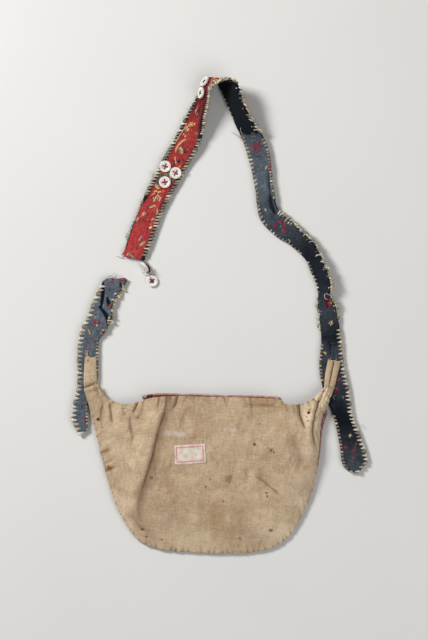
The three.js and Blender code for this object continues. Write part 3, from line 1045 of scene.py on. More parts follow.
# Sections by number, with how far the back's seam is drawn in there, and how far the front's edge shows.
SEAM_DRAWN_IN = ((15.8, 16.6, 17.2, 18.3, 19.3, 20), (0, 0.6, 2, 3.1, 1.6, 0))
FRONT_SHOWN = ((0, 15.4, 16.4, 17, 18.2, 20), (-0.8, -0.8, -0.3, 0.5, 0.8, 0.4))

# Least and most of a pucker's depth, reach, width and lean.
PUCKER_RANGE = ((0.2, 2, 0.8, -0.4), (1, 7.5, 1.5, 0.4))

# Roll of the cloth at a neck: height, distance from the neck, and width.
NECK_ROLL = ((0.9, 2.2, 1.8), (-0.5, 6, 2))

# Unevenness of worn cotton, broad to fine: height, seed, size, and slant of x and of y.
COTTON_LUMPS = ((1.3, 21, 34, 0, 0), (0.9, 22, 13, 0.3, 0), (0.3, 23, 5, 0, -0.4), (0.1, 24, 2.6, 0.2, 0))

# Its pulled ridges: height, seed, size, slant and stretch. Its creases: depth, seed and size.
COTTON_RIDGES = ((1.2, 26, 30, 0.35, 0.5), (0.6, 28, 13, -0.3, 0.6))
COTTON_CREASES = ((0.9, 25, 26), (0.54, 35, 15))

# Steps in which a curve is measured.
CURVE_STEPS = 800

# Seeds of the stitches along the mouth and along the seam.
MOUTH_SEED = 3
SEAM_SEED = 5

# Top edge of the front panel in millimetres, and the binding's route along it in pixels.
FRONT_TOP = (
    (-111, -83), (-84, -82), (-68, -80), (-65.5, -72.8), (-48, -70.9), (-4, -71.4), (40, -72.7),
    (52, -73.8), (55, -80), (66, -82.5), (93.5, -84),
)
TRIM_ROUTE = (
    142.4, 397, 147, 395.2, 153, 394.4, 166, 393.9, 189, 394.5, 212, 395.2, 239.5, 395.9, 262, 396.6,
    278.6, 397.4,
)

# Folds of the back, with painted shade in their valleys: the long step, then pleats and creases of the left
# side, the right side and the bottom.
LONG_STEP = (
    165.2, 396.3, 162.9, 412, 157.9, 426, 153.9, 441, 150.6, 456.5, 146.4, 470, 142, 483, 137.6, 495, 135,
    507, 136, 520, 142, 530,
)
BACK_FOLDS = (
    Fold(LONG_STEP, 0.85, 0.4, 15, 10, edge=0.8, fade=0.82),
    Fold(LONG_STEP, 0, 0, 5, 5, shade_and_grime=0.8, spread=1.3, fade=0.5),
    Fold(LONG_STEP, 0, 0, 5, 5, shade_and_grime=0.46, spread=3.4, fade=0.85),
    Fold(
        (131, 507, 131.5, 518, 138, 528, 148, 535.5, 160, 541),
        0.5, 0.5, 6, 6, shade_and_grime=0.3, spread=2, lead=0.2, fade=0.5,
    ),
    Fold((176.2, 396.5, 175.2, 402.5, 172.8, 407, 172.6, 416), 0.5, 0.8, 6, 6, shade_and_grime=0.5, spread=0.8),
    Fold((159.6, 397, 157.6, 405, 156.4, 412), 0.3, 0.5, 4, 4, shade_and_grime=0.35, spread=0.8),
    Fold(
        (103.4, 400.5, 101.4, 408, 100, 416, 101.5, 432),
        0.5, 0.9, 4, 4, shade_and_grime=0.6, spread=0.8, lead=0.3, fade=0.6,
    ),
    Fold(
        (108.9, 402, 109.6, 408, 110.4, 414, 112.6, 428),
        0.5, 0.9, 4, 5, shade_and_grime=0.5, spread=0.7, lead=0.15, fade=0.6,
    ),
    Fold((137.2, 402, 134.2, 409.4, 130.6, 414.2), 0.6, 0.8, 5, 4, shade_and_grime=0.8, spread=0.5, fade=0.6),
    Fold(
        (129, 414, 129.2, 423, 131, 434, 134.2, 443.5),
        0.5, 0.8, 5, 6, shade_and_grime=0.4, spread=1.2, lead=0.2, fade=0.6,
    ),
    Fold((121, 408, 124.5, 414.5, 128, 418.5), 0.4, 0.6, 4, 4, shade_and_grime=0.3, spread=0.8, lead=0.2),
    Fold((132, 417, 142, 420.5, 151, 424.5), -0.3, 0.5, 5, 4, shade_and_grime=0.25, spread=1.2, lead=0.3),
    Fold(
        (297.6, 405.4, 298, 414.8, 301.2, 423, 305.9, 432.5),
        0.7, 1.4, 6, 4.5, shade_and_grime=0.85, spread=0.9, fade=0.7,
    ),
    Fold((312.4, 400.2, 315.6, 401.6, 319, 404), 0.4, 0.6, 3, 3, shade_and_grime=0.55, spread=0.6),
    Fold((319.4, 392.4, 324, 393, 329, 392), 0.4, 0.5, 3, 3, shade_and_grime=0.4, spread=0.6),
    Fold((291.8, 405.5, 293.2, 409.5, 295.4, 414.5), 0.3, 0.5, 3, 3, shade_and_grime=0.45, spread=0.6),
    Fold((284.5, 405.5, 287, 411, 290.5, 416), 0.2, 0.4, 3, 3, shade_and_grime=0.3, spread=0.6),
    Fold(
        (316.6, 402, 313.2, 413, 311, 423, 310.4, 431, 311.7, 440.3, 313.2, 450),
        0.7, 1.3, 4, 3.5, shade_and_grime=0.8, spread=1, fade=0.75,
    ),
    Fold((314.2, 429, 316, 435.5, 318, 442.5), 0.3, 0.6, 3, 3, shade_and_grime=0.6, spread=0.5, lead=0.2),
    Fold((322.5, 390, 320, 397, 317.5, 404), 0.4, 0.6, 3, 3, shade_and_grime=0.45, spread=0.7),
    Fold(
        (287, 430, 290, 440, 295.4, 453.5, 297.2, 469, 302.5, 484),
        0.5, 1, 8, 7, shade_and_grime=0.16, spread=3, edge=2, lead=0.25, fade=0.55,
    ),
    Fold(
        (252, 476.5, 258, 479.4, 264, 483.4, 270, 488.6, 276, 493.4, 282, 499),
        1.1, 0.6, 7, 8, shade_and_grime=0.58, spread=1, edge=0.8, lead=0.2, fade=0.75,
    ),
    Fold((104, 441, 110, 440, 117, 436), 0.3, 0.4, 4, 4, shade_and_grime=0.2, spread=1, edge=1),
    Fold((102, 454, 107, 452.5, 113, 450), 0.5, 0.7, 3, 3, shade_and_grime=0.55, spread=1.4, edge=1, fade=0.6),
    Fold((105, 465, 110, 463, 116, 459.5), 0.5, 0.7, 3, 3, shade_and_grime=0.5, spread=1.4, edge=1, fade=0.6),
    Fold((106.5, 472, 112, 470.5, 119, 467), 0.5, 0.7, 3, 3, shade_and_grime=0.6, spread=1.6, edge=1, fade=0.6),
    Fold((112, 488, 118, 485, 125, 480), 0.3, 0.4, 4, 4, shade_and_grime=0.2, spread=1, edge=1),
    Fold((243, 406.8, 258, 406.3, 276, 406.6), 0.2, 0.4, 3, 3, shade_and_grime=0.5, spread=1.1, lead=0.1, fade=0.9),
    Fold((251, 407.5, 250.4, 418, 250, 432), 0.25, 0.3, 6, 6, shade_and_grime=0.12, spread=1.2),
    Fold((318, 462, 312, 480, 300, 502), 0.5, 0.5, 7, 7, shade_and_grime=0.1, spread=2, edge=2, lead=0.3),
    Fold((196, 500, 199, 515, 205, 530), 0.4, 0.4, 8, 8, shade_and_grime=0.1, spread=2, edge=2, lead=0.3),
    Fold((243, 470.5, 245.6, 475, 246.4, 481), 0.4, 0.6, 5, 4, shade_and_grime=0.5, spread=0.8, lead=0.3),
    Fold((258.5, 492, 260, 499, 264.4, 505), 0.3, 0.5, 5, 5, shade_and_grime=0.3, spread=1, lead=0.3),
    Fold((271, 507, 277, 511.5, 283, 517), 0.3, 0.4, 4, 4, shade_and_grime=0.2, spread=0.8, lead=0.3),
    Fold((270, 512, 275, 516.5, 280, 521.5), 0.3, 0.4, 4, 4, shade_and_grime=0.18, spread=0.8, lead=0.3),
    Fold((261.6, 536, 259.5, 542, 256.6, 548.6), 0.3, 0.5, 4, 4, shade_and_grime=0.25, spread=0.9, lead=0.3),
    Fold((240, 536, 238.2, 541, 236, 548), 0.3, 0.5, 4, 4, shade_and_grime=0.3, spread=0.9, lead=0.3),
)

COTTON_SPOTS = spots_of(
    (98.3, 419.2, 2.1, 0.95), (254.4, 444, 1.9, 0.8), (270.8, 449.8, 2, 0.6), (273.4, 451.8, 1, 0.7),
    (268, 447.6, 0.9, 0.5), (274.6, 447.4, 0.9, 0.45), (228.6, 478, 3.4, 0.34), (230.8, 475.8, 1.4, 0.5),
    (226.6, 480.4, 1.3, 0.42), (229.4, 481.6, 1.1, 0.42), (235.6, 485.6, 1, 0.3), (233, 470.6, 1.2, 0.3),
    (205.9, 485.7, 1.2, 0.7), (210.3, 479, 1.2, 0.55), (151.6, 477.2, 2.2, 0.55), (155.4, 473, 1.1, 0.4),
    (266.4, 492.2, 1, 0.85), (267.3, 495.6, 1.2, 0.9), (270.6, 530, 1.6, 0.7, 1.4),
    (142.4, 528.9, 1.2, 0.75, 1.6), (146.7, 536.2, 1.3, 0.65, 1.5), (161.6, 539.4, 1, 0.7),
    (223.4, 500.4, 1.5, 0.5), (239.6, 537.6, 1.5, 0.5), (157.7, 508.3, 0.8, 0.5), (308.4, 412.2, 2, 0.95),
    (309.4, 409.6, 1.2, 0.8), (307.8, 420.6, 1.2, 0.75), (306, 416.6, 1, 0.65), (259.5, 423.5, 0.8, 0.55),
    (248, 416.5, 0.8, 0.5), (271.5, 432.6, 0.9, 0.45), (114.7, 456.2, 1.1, 0.45), (109, 467.6, 2.2, 0.55),
    (102.6, 427, 0.8, 0.6), (196, 430.4, 0.8, 0.4), (88.1, 360.4, 0.9, 0.7),
)
COTTON_TINTS = spots_of(
    (268, 400, 14, 0.28, 1.8), (282, 424, 9, 0.2),
    (213, 518, 20, 0.42, 0.26), (214.6, 528, 17, 0.3, 0.36), (221, 514, 17, 0.25, 0.4),
    (231.5, 535, 13, 0.35, 0.35), (206, 526, 9, 0.3, 0.35), (240, 524, 8, 0.25, 0.5), (109, 468, 5, 0.7),
    (106.4, 451, 4, 0.6), (113.7, 485, 4, 0.3), (166, 483, 6, 0.25), (228.6, 478, 5, 0.35),
    (270, 450, 5, 0.3), (291, 441, 7, 0.25),
)
# Pools of painted light on the cotton: pixel, radius in millimetres, strength and width.
COTTON_PAINTED_LIGHT = spots_of(
    (112, 497, 9, 0.5), (119, 512, 9, 0.55), (128, 526, 9, 0.55), (141, 539, 10, 0.5),
    (151, 420, 13, 0.4), (145, 442, 13, 0.45), (139, 462, 13, 0.45), (132, 482, 13, 0.45),
    (127, 502, 13, 0.45), (294, 512, 58, 0.5, 0.8), (314, 478, 22, 0.75, 0.5), (306, 506, 20, 0.85, 0.6),
    (288, 530, 18, 0.75), (215, 556, 40, 0.4, 2.6), (314, 440, 34, 0.6, 0.6), (309, 413, 15, 0.9, 0.7),
    (321, 398, 16, 0.8), (118, 428, 26, 0.12),
)
COTTON_SMEARS = spots_of(
    (167.5, 432.6, 4.4, 0.42, 1.7), (180, 433.6, 4.2, 0.5, 2), (189, 430.6, 3, 0.3, 1.3),
    (233, 429.6, 2.4, 0.45, 2.2),
)


# Whip stitches round the seam: half widths along one, and dyes.
WHIP_WIDTHS = np.array([0.1, 0.2, 0.24, 0.24, 0.2, 0.1])
WHIP_DYES = (Dye.HEMP, Dye.ECRU, Dye.TAN)

# Where one leaves the back and where it meets the edge, as insets from the seam.
WHIP_INSETS = (2.2, 0.4)

# Its points: which of these two it starts from, way out, and height.
WHIP_POINTS = ((0, 0, -0.1), (0, 0.7, 0.02), (1, 0, 0.1), (1, 0.75, -0.9), (1, 0.7, -2), (1, 0.1, -2.5))

# Threads over the front's upturned rim at the right: sections, count, half width and dyes.
RIM_ROWS = (16.4, 18.9)
RIM_COUNT = 34
RIM_WIDTH = 0.36
RIM_DYES = (Dye.ROSE, Dye.LILAC, Dye.CREAM)

# Path of one: inset of its start, height of the rim, how far it goes over, and how high it arches and drops.
RIM_INSET = 0.8
RIM_TOP = 3.2
RIM_OVER = 0.35
RIM_ARCH = 0.25
RIM_DROPS = (0.6, 1.6)

# Slanting threads over the binding: columns that one crosses, half width and dyes.
TRIM_COLUMNS = (14, 12, 10, 8)
TRIM_WIDTH = 0.24
TRIM_DYES = (Dye.CREAM, Dye.WHITE, Dye.ROSE, Dye.LILAC, Dye.WHITE)

# Threads round the binding's left end: first, last and step of pixel x, then pixel y at an x and its slope.
CORNER_PIXELS = (142.9, 152, 0.8)
CORNER_LINE = (395.8, -0.13, 143)

# One of them: pixel x and y from its spot, and height.
CORNER_STITCH = np.array([(0.9, -0.5, 2.9), (0.4, 0.6, 2.95), (0, 1.8, 2.85), (-0.1, 3, 2.6)])
CORNER_WIDTH = 0.3
CORNER_DYES = (Dye.WHITE, Dye.LILAC, Dye.ROSE, Dye.ROSE, Dye.WINE)

# Hem stitches by the mouth: first, last and step of pixel x, pixel y, length, heights and half width.
HEM_PIXELS = (244, 278, 2.6)
HEM_Y = 406.7
HEM_STITCH = 1.3
HEM_HEIGHTS = np.array([-0.15, 0.06, 0.06, -0.15])
HEM_WIDTH = 0.24


@dataclass(frozen=True)
class TrimShape:
    """Measures of the binding that is folded over the front's top edge."""

    steps: int = 160
    turn_steps: int = 16
    turn: float = 1.1 * math.pi
    radius: float = 1.2
    middle: float = 1.45
    inset: float = 1
    flare: float = 0.25
    flare_reach: float = 2
    lap: float = 3.4
    lap_steps: int = 6
    lap_fall: float = 0.12
    cloth: float = 0.45
    thread_lift: float = 0.3
    girth_start: float = 4
    red_from: tuple[float, float] = (5.4, 5.8)
    least_wear: float = 0.75
    start_wear: float = 0.8
    start_ends: tuple[float, float] = (5, 12)
    tip_ends: tuple[float, float] = (3.4, 2.6)


@dataclass(frozen=True)
class TabShape:
    """Measures of the cream tabs, the shares being of their half width or of their length."""

    steps: tuple[int, int] = (60, 32)
    level: float = 4.3
    cloth: float = 0.9
    crown: float = 0.55
    flat_share: float = 0.88
    edge_angle: float = 1.9
    edge_drop: float = 0.9
    groove: tuple[float, float] = (-0.02, 0.15)
    groove_shade: float = 0.85
    most_darkness: float = 0.9
    lip: float = 0.35
    tuck: float = 1.1
    tuck_share: float = 0.12
    fray: float = 0.9
    fray_from: float = 0.97


@dataclass(frozen=True)
class LabelShape:
    """Measures of the paper label."""

    centre: tuple[float, float] = (-26.2, -121.6)
    turn: float = 0.066
    steps: tuple[int, int] = (56, 36)
    cloth: float = 0.18
    gap: float = 0.3
    torn: tuple[float, float] = (0.5, 0.45)
    torn_reach: float = 0.6
    curl: float = 0.55
    curl_reach: float = 2.2
    least_curl: float = -0.15


TRIM = TrimShape()
TAB = TabShape()
LABEL = LabelShape()


@dataclass
class Pouch:
    """The flat pouch: back, front, mouth binding, necks' tabs, label and seam stitches."""

    cotton: Material
    crimson: Material
    binding_cloth: Material
    paper: Material
    thread: Material
    wall: float = 1.5
    cloth: float = 0.8
    turn: float = 0.5
    turn_steps: int = 6
    hem: float = 6.5
    flange: float = 5
    under_share: float = 0.3
    under_steps: int = 4
    stitch_pitch: float = 5.6
    mouth_pitch: float = 6.4
    pitch_waver: float = 0.3
    sewn_from: float = 10
    # Painted shade at the bottom of a pucker, then the height and offset of the ridge beside it.
    pucker_shade: float = 0.75
    ridge: float = 0.5
    ridge_offset: float = 1.9
    calm: float = 0.3
    calm_ends: tuple[float, float] = (130, 175)
    steps_along: int = 440
    steps_across: int = 84
    crowding: float = 1.15
    seam_waver: float = 0.35
    scallop: float = 0.55
    scallop_reach: float = 2.5
    scallop_clear: float = 46
    fold_lift: float = 2.1
    pillow_lean: float = 0.8
    seam_turn: float = 4
    seam_hold: float = 5
    neck_depth: float = 0.55
    neck_pleats: float = 2.5
    neck_reach: float = 22
    front_rows: tuple[float, float] = (2.4, 18.7)
    front_steps: tuple[int, int] = (220, 80)
    front_crowding: float = 1.6
    front_cloth: float = 1.1
    upturn: float = 1.1
    most_upturn: float = 1.9
    newton_start: tuple[float, float] = (0.5, 0.4)
    newton_step: float = 1e-3
    newton_rounds: int = 12
    mouth: SmoothCurve = field(init=False)
    seam: SmoothCurve = field(init=False)
    swell: SmoothCurve = field(init=False)
    trim_rim: Array = field(init=False)

    def __post_init__(self) -> None:
        """Draws the mouth edge, the seam and the swell through the sections."""
        rows = np.array(BACK_SECTIONS)
        self.mouth = SmoothCurve(rows[:, 0:3])
        self.seam = SmoothCurve(rows[:, 3:6])
        self.swell = SmoothCurve(rows[:, 6:7])

    def lengths(self, curve: SmoothCurve, u: Array) -> Array:
        """Distance along a curve from its start, for shares of the way along its points."""
        shares = np.linspace(0, 1, CURVE_STEPS)
        return np.interp(u, shares, run_along(curve.at(shares)))

    def drawn_in(self, u: Array) -> Array:
        """How far the back's seam is drawn in from the outline, with a slight waver."""
        waver = self.seam_waver * (1 + SoftNoise(6, 3.6).at(self.lengths(self.seam, u), 0))
        return np.interp(np.asarray(u) * LAST_SECTION, *SEAM_DRAWN_IN) + waver

    def outward(self, u: Array) -> Array:
        """Level direction from the mouth edge out to the seam."""
        return unit((self.seam.at(u) - self.mouth.at(u)) * LEVEL)

    def drawn_seam(self, u: Array) -> Array:
        """Seam of the back, drawn in where the front's edge shows."""
        return self.seam.at(u) - self.outward(u) * self.drawn_in(u)[..., None]

    def puckers(self, u: Array, from_mouth: Array, from_seam: Array) -> tuple[Array, Array]:
        """Small gathers along the sewn edges.

        Args:
            u: Share of the way round from the left neck.
            from_mouth: Distance from the mouth edge in millimetres.
            from_seam: Distance from the seam in millimetres.

        Returns:
            The height that they add, and the painted shade in their valleys.
        """
        height = np.zeros(np.broadcast_shapes(np.shape(u), np.shape(from_mouth)))
        shade = height
        sewn = (
            (self.mouth, from_mouth, MOUTH_SEED, self.mouth_pitch),
            (self.seam, from_seam, SEAM_SEED, self.stitch_pitch),
        )
        for curve, away, seed, pitch in sewn:
            run = self.lengths(curve, u)
            dice = np.random.default_rng(seed)
            for spot in self.stitch_spots(curve, pitch, seed):
                size, reach, width, lean = dice.uniform(*PUCKER_RANGE)
                if curve is self.seam:
                    size *= self.calm + (1 - self.calm) * float(smooth_step(spot, *self.calm_ends))
                across = (run - spot - lean * away) / width
                fading = size * np.exp(-np.abs(away) / reach)
                valley = fading * bell(across)
                height = height - valley + self.ridge * fading * bell(across, self.ridge_offset)
                shade = np.maximum(shade, self.pucker_shade * valley)
        return height, shade

    def stitch_spots(self, curve: SmoothCurve, pitch: float, seed: int) -> Array:
        """Uneven places along a sewn edge at which it is stitched.

        Args:
            curve: The edge.
            pitch: Mean distance between stitches.
            seed: Seed of their unevenness.

        Returns:
            Distances along the edge.
        """
        whole = float(self.lengths(curve, np.array(1)))
        spots = np.arange(self.sewn_from, whole - self.sewn_from, pitch)
        dice = np.random.default_rng(seed + 50)
        return spots + dice.uniform(-self.pitch_waver, self.pitch_waver, len(spots)) * pitch

    def lumps(self, x: Array, y: Array) -> Array:
        """Soft unevenness of worn, washed cotton.

        Args:
            x: Plan x in millimetres.
            y: Plan y in millimetres.

        Returns:
            The height that it adds at each point.
        """
        total = np.zeros(np.shape(x))
        for height, seed, size, slant_x, slant_y in COTTON_LUMPS:
            total = total + height * SoftNoise(seed, size).at(x + slant_x * y, y + slant_y * x)
        for height, seed, size, slant, stretch in COTTON_RIDGES:
            total = total + height * ridged(seed, size, x + slant * y, stretch * y)
        for depth, seed, size in COTTON_CREASES:
            total = total + depth * crumple(seed, size, x, y)
        return total

    def surface(self, u: Array, v: Array) -> Array:
        """Top of the back.

        Args:
            u: Share of the way round from the left neck to the right one.
            v: Share of the way from the mouth edge to the seam.

        Returns:
            Points on the outside of the cloth.
        """
        mouth = self.mouth.at(u)
        seam = self.drawn_seam(u)
        span = seam - mouth
        width = np.hypot(span[..., 0], span[..., 1])
        along = self.lengths(self.mouth, u)
        from_neck = np.minimum(along, self.lengths(self.mouth, np.array(1)) - along)
        near_mouth = np.exp(-np.abs(v) * width / self.scallop_reach - (from_neck / self.scallop_clear) ** 8)
        reach = v + self.scallop * near_mouth * SoftNoise(29, 2.4).at(along, 0) / width
        x = mouth[..., 0] + span[..., 0] * reach
        y = mouth[..., 1] + span[..., 1] * reach
        v = np.clip(v, 0, 1)
        pleats = self.neck_pleats * v + 0.3 * SoftNoise(27, 14).at(along, v * 9)
        gather = self.neck_depth * np.exp(-from_neck / self.neck_reach) * np.cos(2 * math.pi * pleats)
        roll = sum(height * bell(from_neck, middle, wide) for height, middle, wide in NECK_ROLL)
        pillow = self.swell.at(u)[..., 0] * np.sin(math.pi * v**self.pillow_lean)
        base = mouth[..., 2] + span[..., 2] * v**self.seam_turn
        free = 1 - v**self.seam_hold
        relief = self.fold_lift * fold_height(BACK_FOLDS, x, y) + self.lumps(x, y) + gather + roll
        gathered = self.puckers(u, v * width, (1 - v) * width)[0]
        z = base + pillow + free * relief + gathered + self.wall / 2
        return np.stack([x, y, z], axis=-1)

    def height(self, x: Array, y: Array) -> Array:
        """Height of the back's outside over plan points, found by a few Newton steps.

        Args:
            x: Plan x in millimetres.
            y: Plan y in millimetres.

        Returns:
            One height for each point.
        """
        step = self.newton_step
        u, v = (np.full(np.shape(x), share) for share in self.newton_start)
        for _ in range(self.newton_rounds):
            here = self.surface(u, v)
            by_u = (self.surface(u + step, v) - here) / step
            by_v = (self.surface(u, v + step) - here) / step
            spread = by_u[..., 0] * by_v[..., 1] - by_u[..., 1] * by_v[..., 0]
            off_x = x - here[..., 0]
            off_y = y - here[..., 1]
            u = u + (off_x * by_v[..., 1] - off_y * by_v[..., 0]) / spread
            v = v + (off_y * by_u[..., 0] - off_x * by_u[..., 1]) / spread
        return self.surface(u, v)[..., 2]

    def back(self) -> None:
        """Back panel with its mouth hem and its seam edge turned under."""
        u = np.linspace(0, 1, self.steps_along + 1)[:, None]
        mouth = self.mouth.at(u)
        seam = self.drawn_seam(u)
        outward = self.outward(u)
        width = np.linalg.norm((seam - mouth)[..., :2], axis=-1)
        shares = 1 - (1 - np.linspace(0, 1, self.steps_across + 1)) ** self.crowding
        from_mouth = self.turn + shares[None, :] * (width - 2 * self.turn)
        main = self.surface(u, from_mouth / width)
        main[..., 2] -= self.cloth / 2
        angles = np.linspace(0, math.pi, self.turn_steps + 1)[1:]
        mouth_turn = self.turned_edge(main[:, :1], -outward, angles)
        seam_turn = self.turned_edge(main[:, -1:], outward, angles)
        steps = np.linspace(0, 1, self.under_steps + 1)[None, 1:]
        hem = self.turn + np.minimum(self.hem, self.under_share * width) * steps
        flange = self.turn + np.minimum(self.flange, self.under_share * width) * steps
        under_mouth = self.surface(u, hem / width)
        under_seam = self.surface(u, 1 - flange / width)
        for under in (under_mouth, under_seam):
            under[..., 2] -= self.cloth / 2 + 2 * self.turn
        rows = [under_mouth[:, ::-1], mouth_turn[:, ::-1], main, seam_turn, under_seam]
        middle = np.concatenate(rows, axis=1)
        in_mouth = np.linalg.norm((middle - mouth)[..., :2], axis=-1)
        in_seam = np.linalg.norm((middle - seam)[..., :2], axis=-1)
        # Painted shade in the pucker valleys and in the fold valleys.
        clean = 1 - self.puckers(u, in_mouth, in_seam)[1]
        shade_and_grime = 1 - clean * (1 - fold_shade(BACK_FOLDS, middle[..., 0], middle[..., 1]))
        piece = cloth_sheet(middle, self.cloth, middle[..., :2], {"shade_and_grime": shade_and_grime})
        dress(piece, "pouch_back", self.cotton, ["back_panel"])

    def turned_edge(self, edge: Array, outward: Array, angles: Array) -> Array:
        """Half round in which the cloth turns under at an edge.

        Args:
            edge: Last points of the upper layer, one for each row.
            outward: Plan direction out of the cloth for each row.
            angles: Angles of the half round to give points for.

        Returns:
            Rows of points from the upper layer down to the lower one.
        """
        out = self.turn * np.sin(angles)[None, :, None] * outward
        down = self.turn * (1 - np.cos(angles))
        points = edge + out
        points[..., 2] -= down[None, :]
        return points

    def front_edge(self, rows: Array) -> Array:
        """Outer edge of the front panel, which shows past the seam at the right.

        Args:
            rows: Sections by number.

        Returns:
            A point on the edge for each.
        """
        u = rows / LAST_SECTION
        shown = np.interp(rows, *FRONT_SHOWN)
        return self.seam.at(u) + self.outward(u) * shown[..., None]

    def front(self) -> None:
        """Front panel, flat on the surface."""
        corners = np.array(FRONT_TOP)
        run = run_along(corners)
        share = np.linspace(0, 1, self.front_steps[0] + 1)
        top = np.stack([np.interp(share * run[-1], run, corners[:, k]) for k in (0, 1)], axis=-1)
        first, last = self.front_rows
        rows = first + (last - first) * share
        edge = self.front_edge(rows)
        steps = np.linspace(0, 1, self.front_steps[1] + 1)[None, :, None]
        across = 1 - (1 - steps) ** self.front_crowding
        plan = top[:, None, :] * (1 - across) + edge[:, None, :2] * across
        x, y = plan[..., 0], plan[..., 1]
        from_edge = np.hypot(x - edge[:, None, 0], y - edge[:, None, 1])
        drawn = self.drawn_in(rows / LAST_SECTION)[:, None]
        upturn = np.minimum(self.upturn * drawn, self.most_upturn)
        upturn = upturn * (1 - smooth_step(from_edge, 0.2, drawn + 0.3))
        ripple = upturn * (1 + 0.2 * SoftNoise(31, 4).at(x, y))
        z = self.front_cloth / 2 + 0.06 + ripple + 0.05 * (1 + SoftNoise(32, 24).at(x, y))
        middle = np.stack([x, y, z], axis=-1)
        piece = cloth_sheet(middle, self.front_cloth, plan)
        dress(piece, "pouch_front", self.crimson, ["front_panel"])

    def binding(self) -> None:
        """Narrow folded binding along the front's top edge."""
        route = PHOTO.plan(TRIM_ROUTE)
        share = np.linspace(0, 1, TRIM.steps + 1)
        line = SmoothCurve(np.column_stack([route, np.zeros(len(route))])).at(share)
        run = run_along(line)
        to_end = run[-1] - run
        out = np.cross(UP, unit(np.gradient(line, axis=0)))
        fold = np.linspace(-0.5, 0.5, TRIM.turn_steps + 1) * TRIM.turn
        lap = np.linspace(0, TRIM.lap, TRIM.lap_steps + 1)[1:]
        wave = 0.16 * SoftNoise(41, 3.2).at(run) + 0.22 * SoftNoise(42, 9).at(run)
        flare = TRIM.flare * (np.exp(-run / TRIM.flare_reach) + np.exp(-to_end / TRIM.flare_reach))
        depth = TRIM.radius * (1 + flare) * (1 + 0.12 * SoftNoise(43, 5).at(run, 2))
        round_reach = np.cos(fold)[None, :] * depth[:, None]
        flat_reach = round_reach[:, -1:] - lap[None, :]
        reach = np.concatenate([round_reach, flat_reach], axis=1) - TRIM.inset + wave[:, None]
        profile = TRIM.middle + np.concatenate([np.sin(fold), np.sin(fold[-1]) - TRIM.lap_fall * lap])
        middle = line[:, None, :] + out[:, None, :] * reach[..., None]
        middle[..., 2] = profile[None, :] + 0.12 * SoftNoise(44, 4).at(run)[:, None]
        lift = np.cos(fold)[None, :, None] * out[:, None, :]
        lift[..., 2] = np.sin(fold)
        self.trim_rim = middle[:, : len(fold)] + TRIM.thread_lift * lift
        girth = TRIM.girth_start + TRIM.radius * np.concatenate([fold, fold[-1] + lap / TRIM.radius])
        lay = np.stack(np.broadcast_arrays(run[:, None], girth[None, :]), axis=-1)
        pale = np.broadcast_to(1 - smooth_step(girth, *TRIM.red_from)[None, :], reach.shape)
        patches = smooth_step(SoftNoise(45, 5).at(run, 1), -0.5, 0.5)[:, None]
        broken = TRIM.least_wear + (1 - TRIM.least_wear) * patches
        tip = smooth_step(-to_end, *(-np.array(TRIM.tip_ends)))
        start = TRIM.start_wear * (1 - smooth_step(run, *TRIM.start_ends))
        worn = np.clip(pale * broken + (tip + start)[:, None], 0, 1)
        piece = cloth_sheet(middle, TRIM.cloth, lay, {"worn": worn})
        dress(piece, "mouth_trim", self.binding_cloth, ["mouth_binding"])

    def tab(
        self, name: str, node: str, rows: Sequence[tuple[float, float, float, float]], slit: float, seed: int
    ) -> None:
        """Cream strip that runs up from a neck over the strap.

        Args:
            name: The piece's name.
            node: The CAD node that it stands for.
            rows: Right x y and left x y of its edges, from the neck upwards.
            slit: Depth of the groove in which its two folded edges meet.
            seed: Seed of its ripples.
        """
        edges = np.array(rows)
        share = np.linspace(0, 1, TAB.steps[0] + 1)
        right = SmoothCurve(edges[:, 0:2]).at(share)
        left = SmoothCurve(edges[:, 2:4]).at(share)
        reach = np.linspace(-1, 1, TAB.steps[1] + 1)
        side = np.abs(reach)
        brim = 1 - TAB.flat_share
        angle = TAB.edge_angle * np.maximum(side - TAB.flat_share, 0) / brim
        inward = np.where(side > TAB.flat_share, np.cos(angle) * brim + TAB.flat_share, side)
        spot = 0.5 - 0.5 * np.sign(reach) * inward
        plan = right[:, None, :] * (1 - spot)[None, :, None] + left[:, None, :] * spot[None, :, None]
        x, y = plan[..., 0], plan[..., 1]
        crown = TAB.crown * (1 - reach**2)
        lips = TAB.lip * slit * np.abs(np.sin(math.pi * reach))
        profile = TAB.level + crown + lips - TAB.edge_drop * np.sin(angle)
        ripple = 0.16 * SoftNoise(seed, 6).at(x, y) + 0.12 * SoftNoise(seed + 1, 2.6).at(x, y * 0.5)
        folded = smooth_step(share, 0.06, 0.16) * (1 - smooth_step(share, 0.95, 1))
        groove = folded[:, None] * bell(reach, *TAB.groove)[None, :]
        tuck = TAB.tuck * (1 - smooth_step(share, 0, TAB.tuck_share))
        z = profile[None, :] + ripple - slit * groove - tuck[:, None] + fold_height(TAB_FOLDS, x, y)
        frayed = (share[:, None] > TAB.fray_from) * TAB.fray * SoftNoise(seed + 2, 1.6).at(x, 5)
        middle = np.stack([x, y + frayed, z], axis=-1)
        # Painted shade in the groove where the folded edges meet and in the creases by the neck.
        shade_and_grime = TAB.groove_shade * groove * (slit > 0) + fold_shade(TAB_FOLDS, x, y)
        piece = cloth_sheet(middle, TAB.cloth, plan, {"shade_and_grime": np.clip(shade_and_grime, 0, TAB.most_darkness)})
        dress(piece, name, self.cotton, [node])

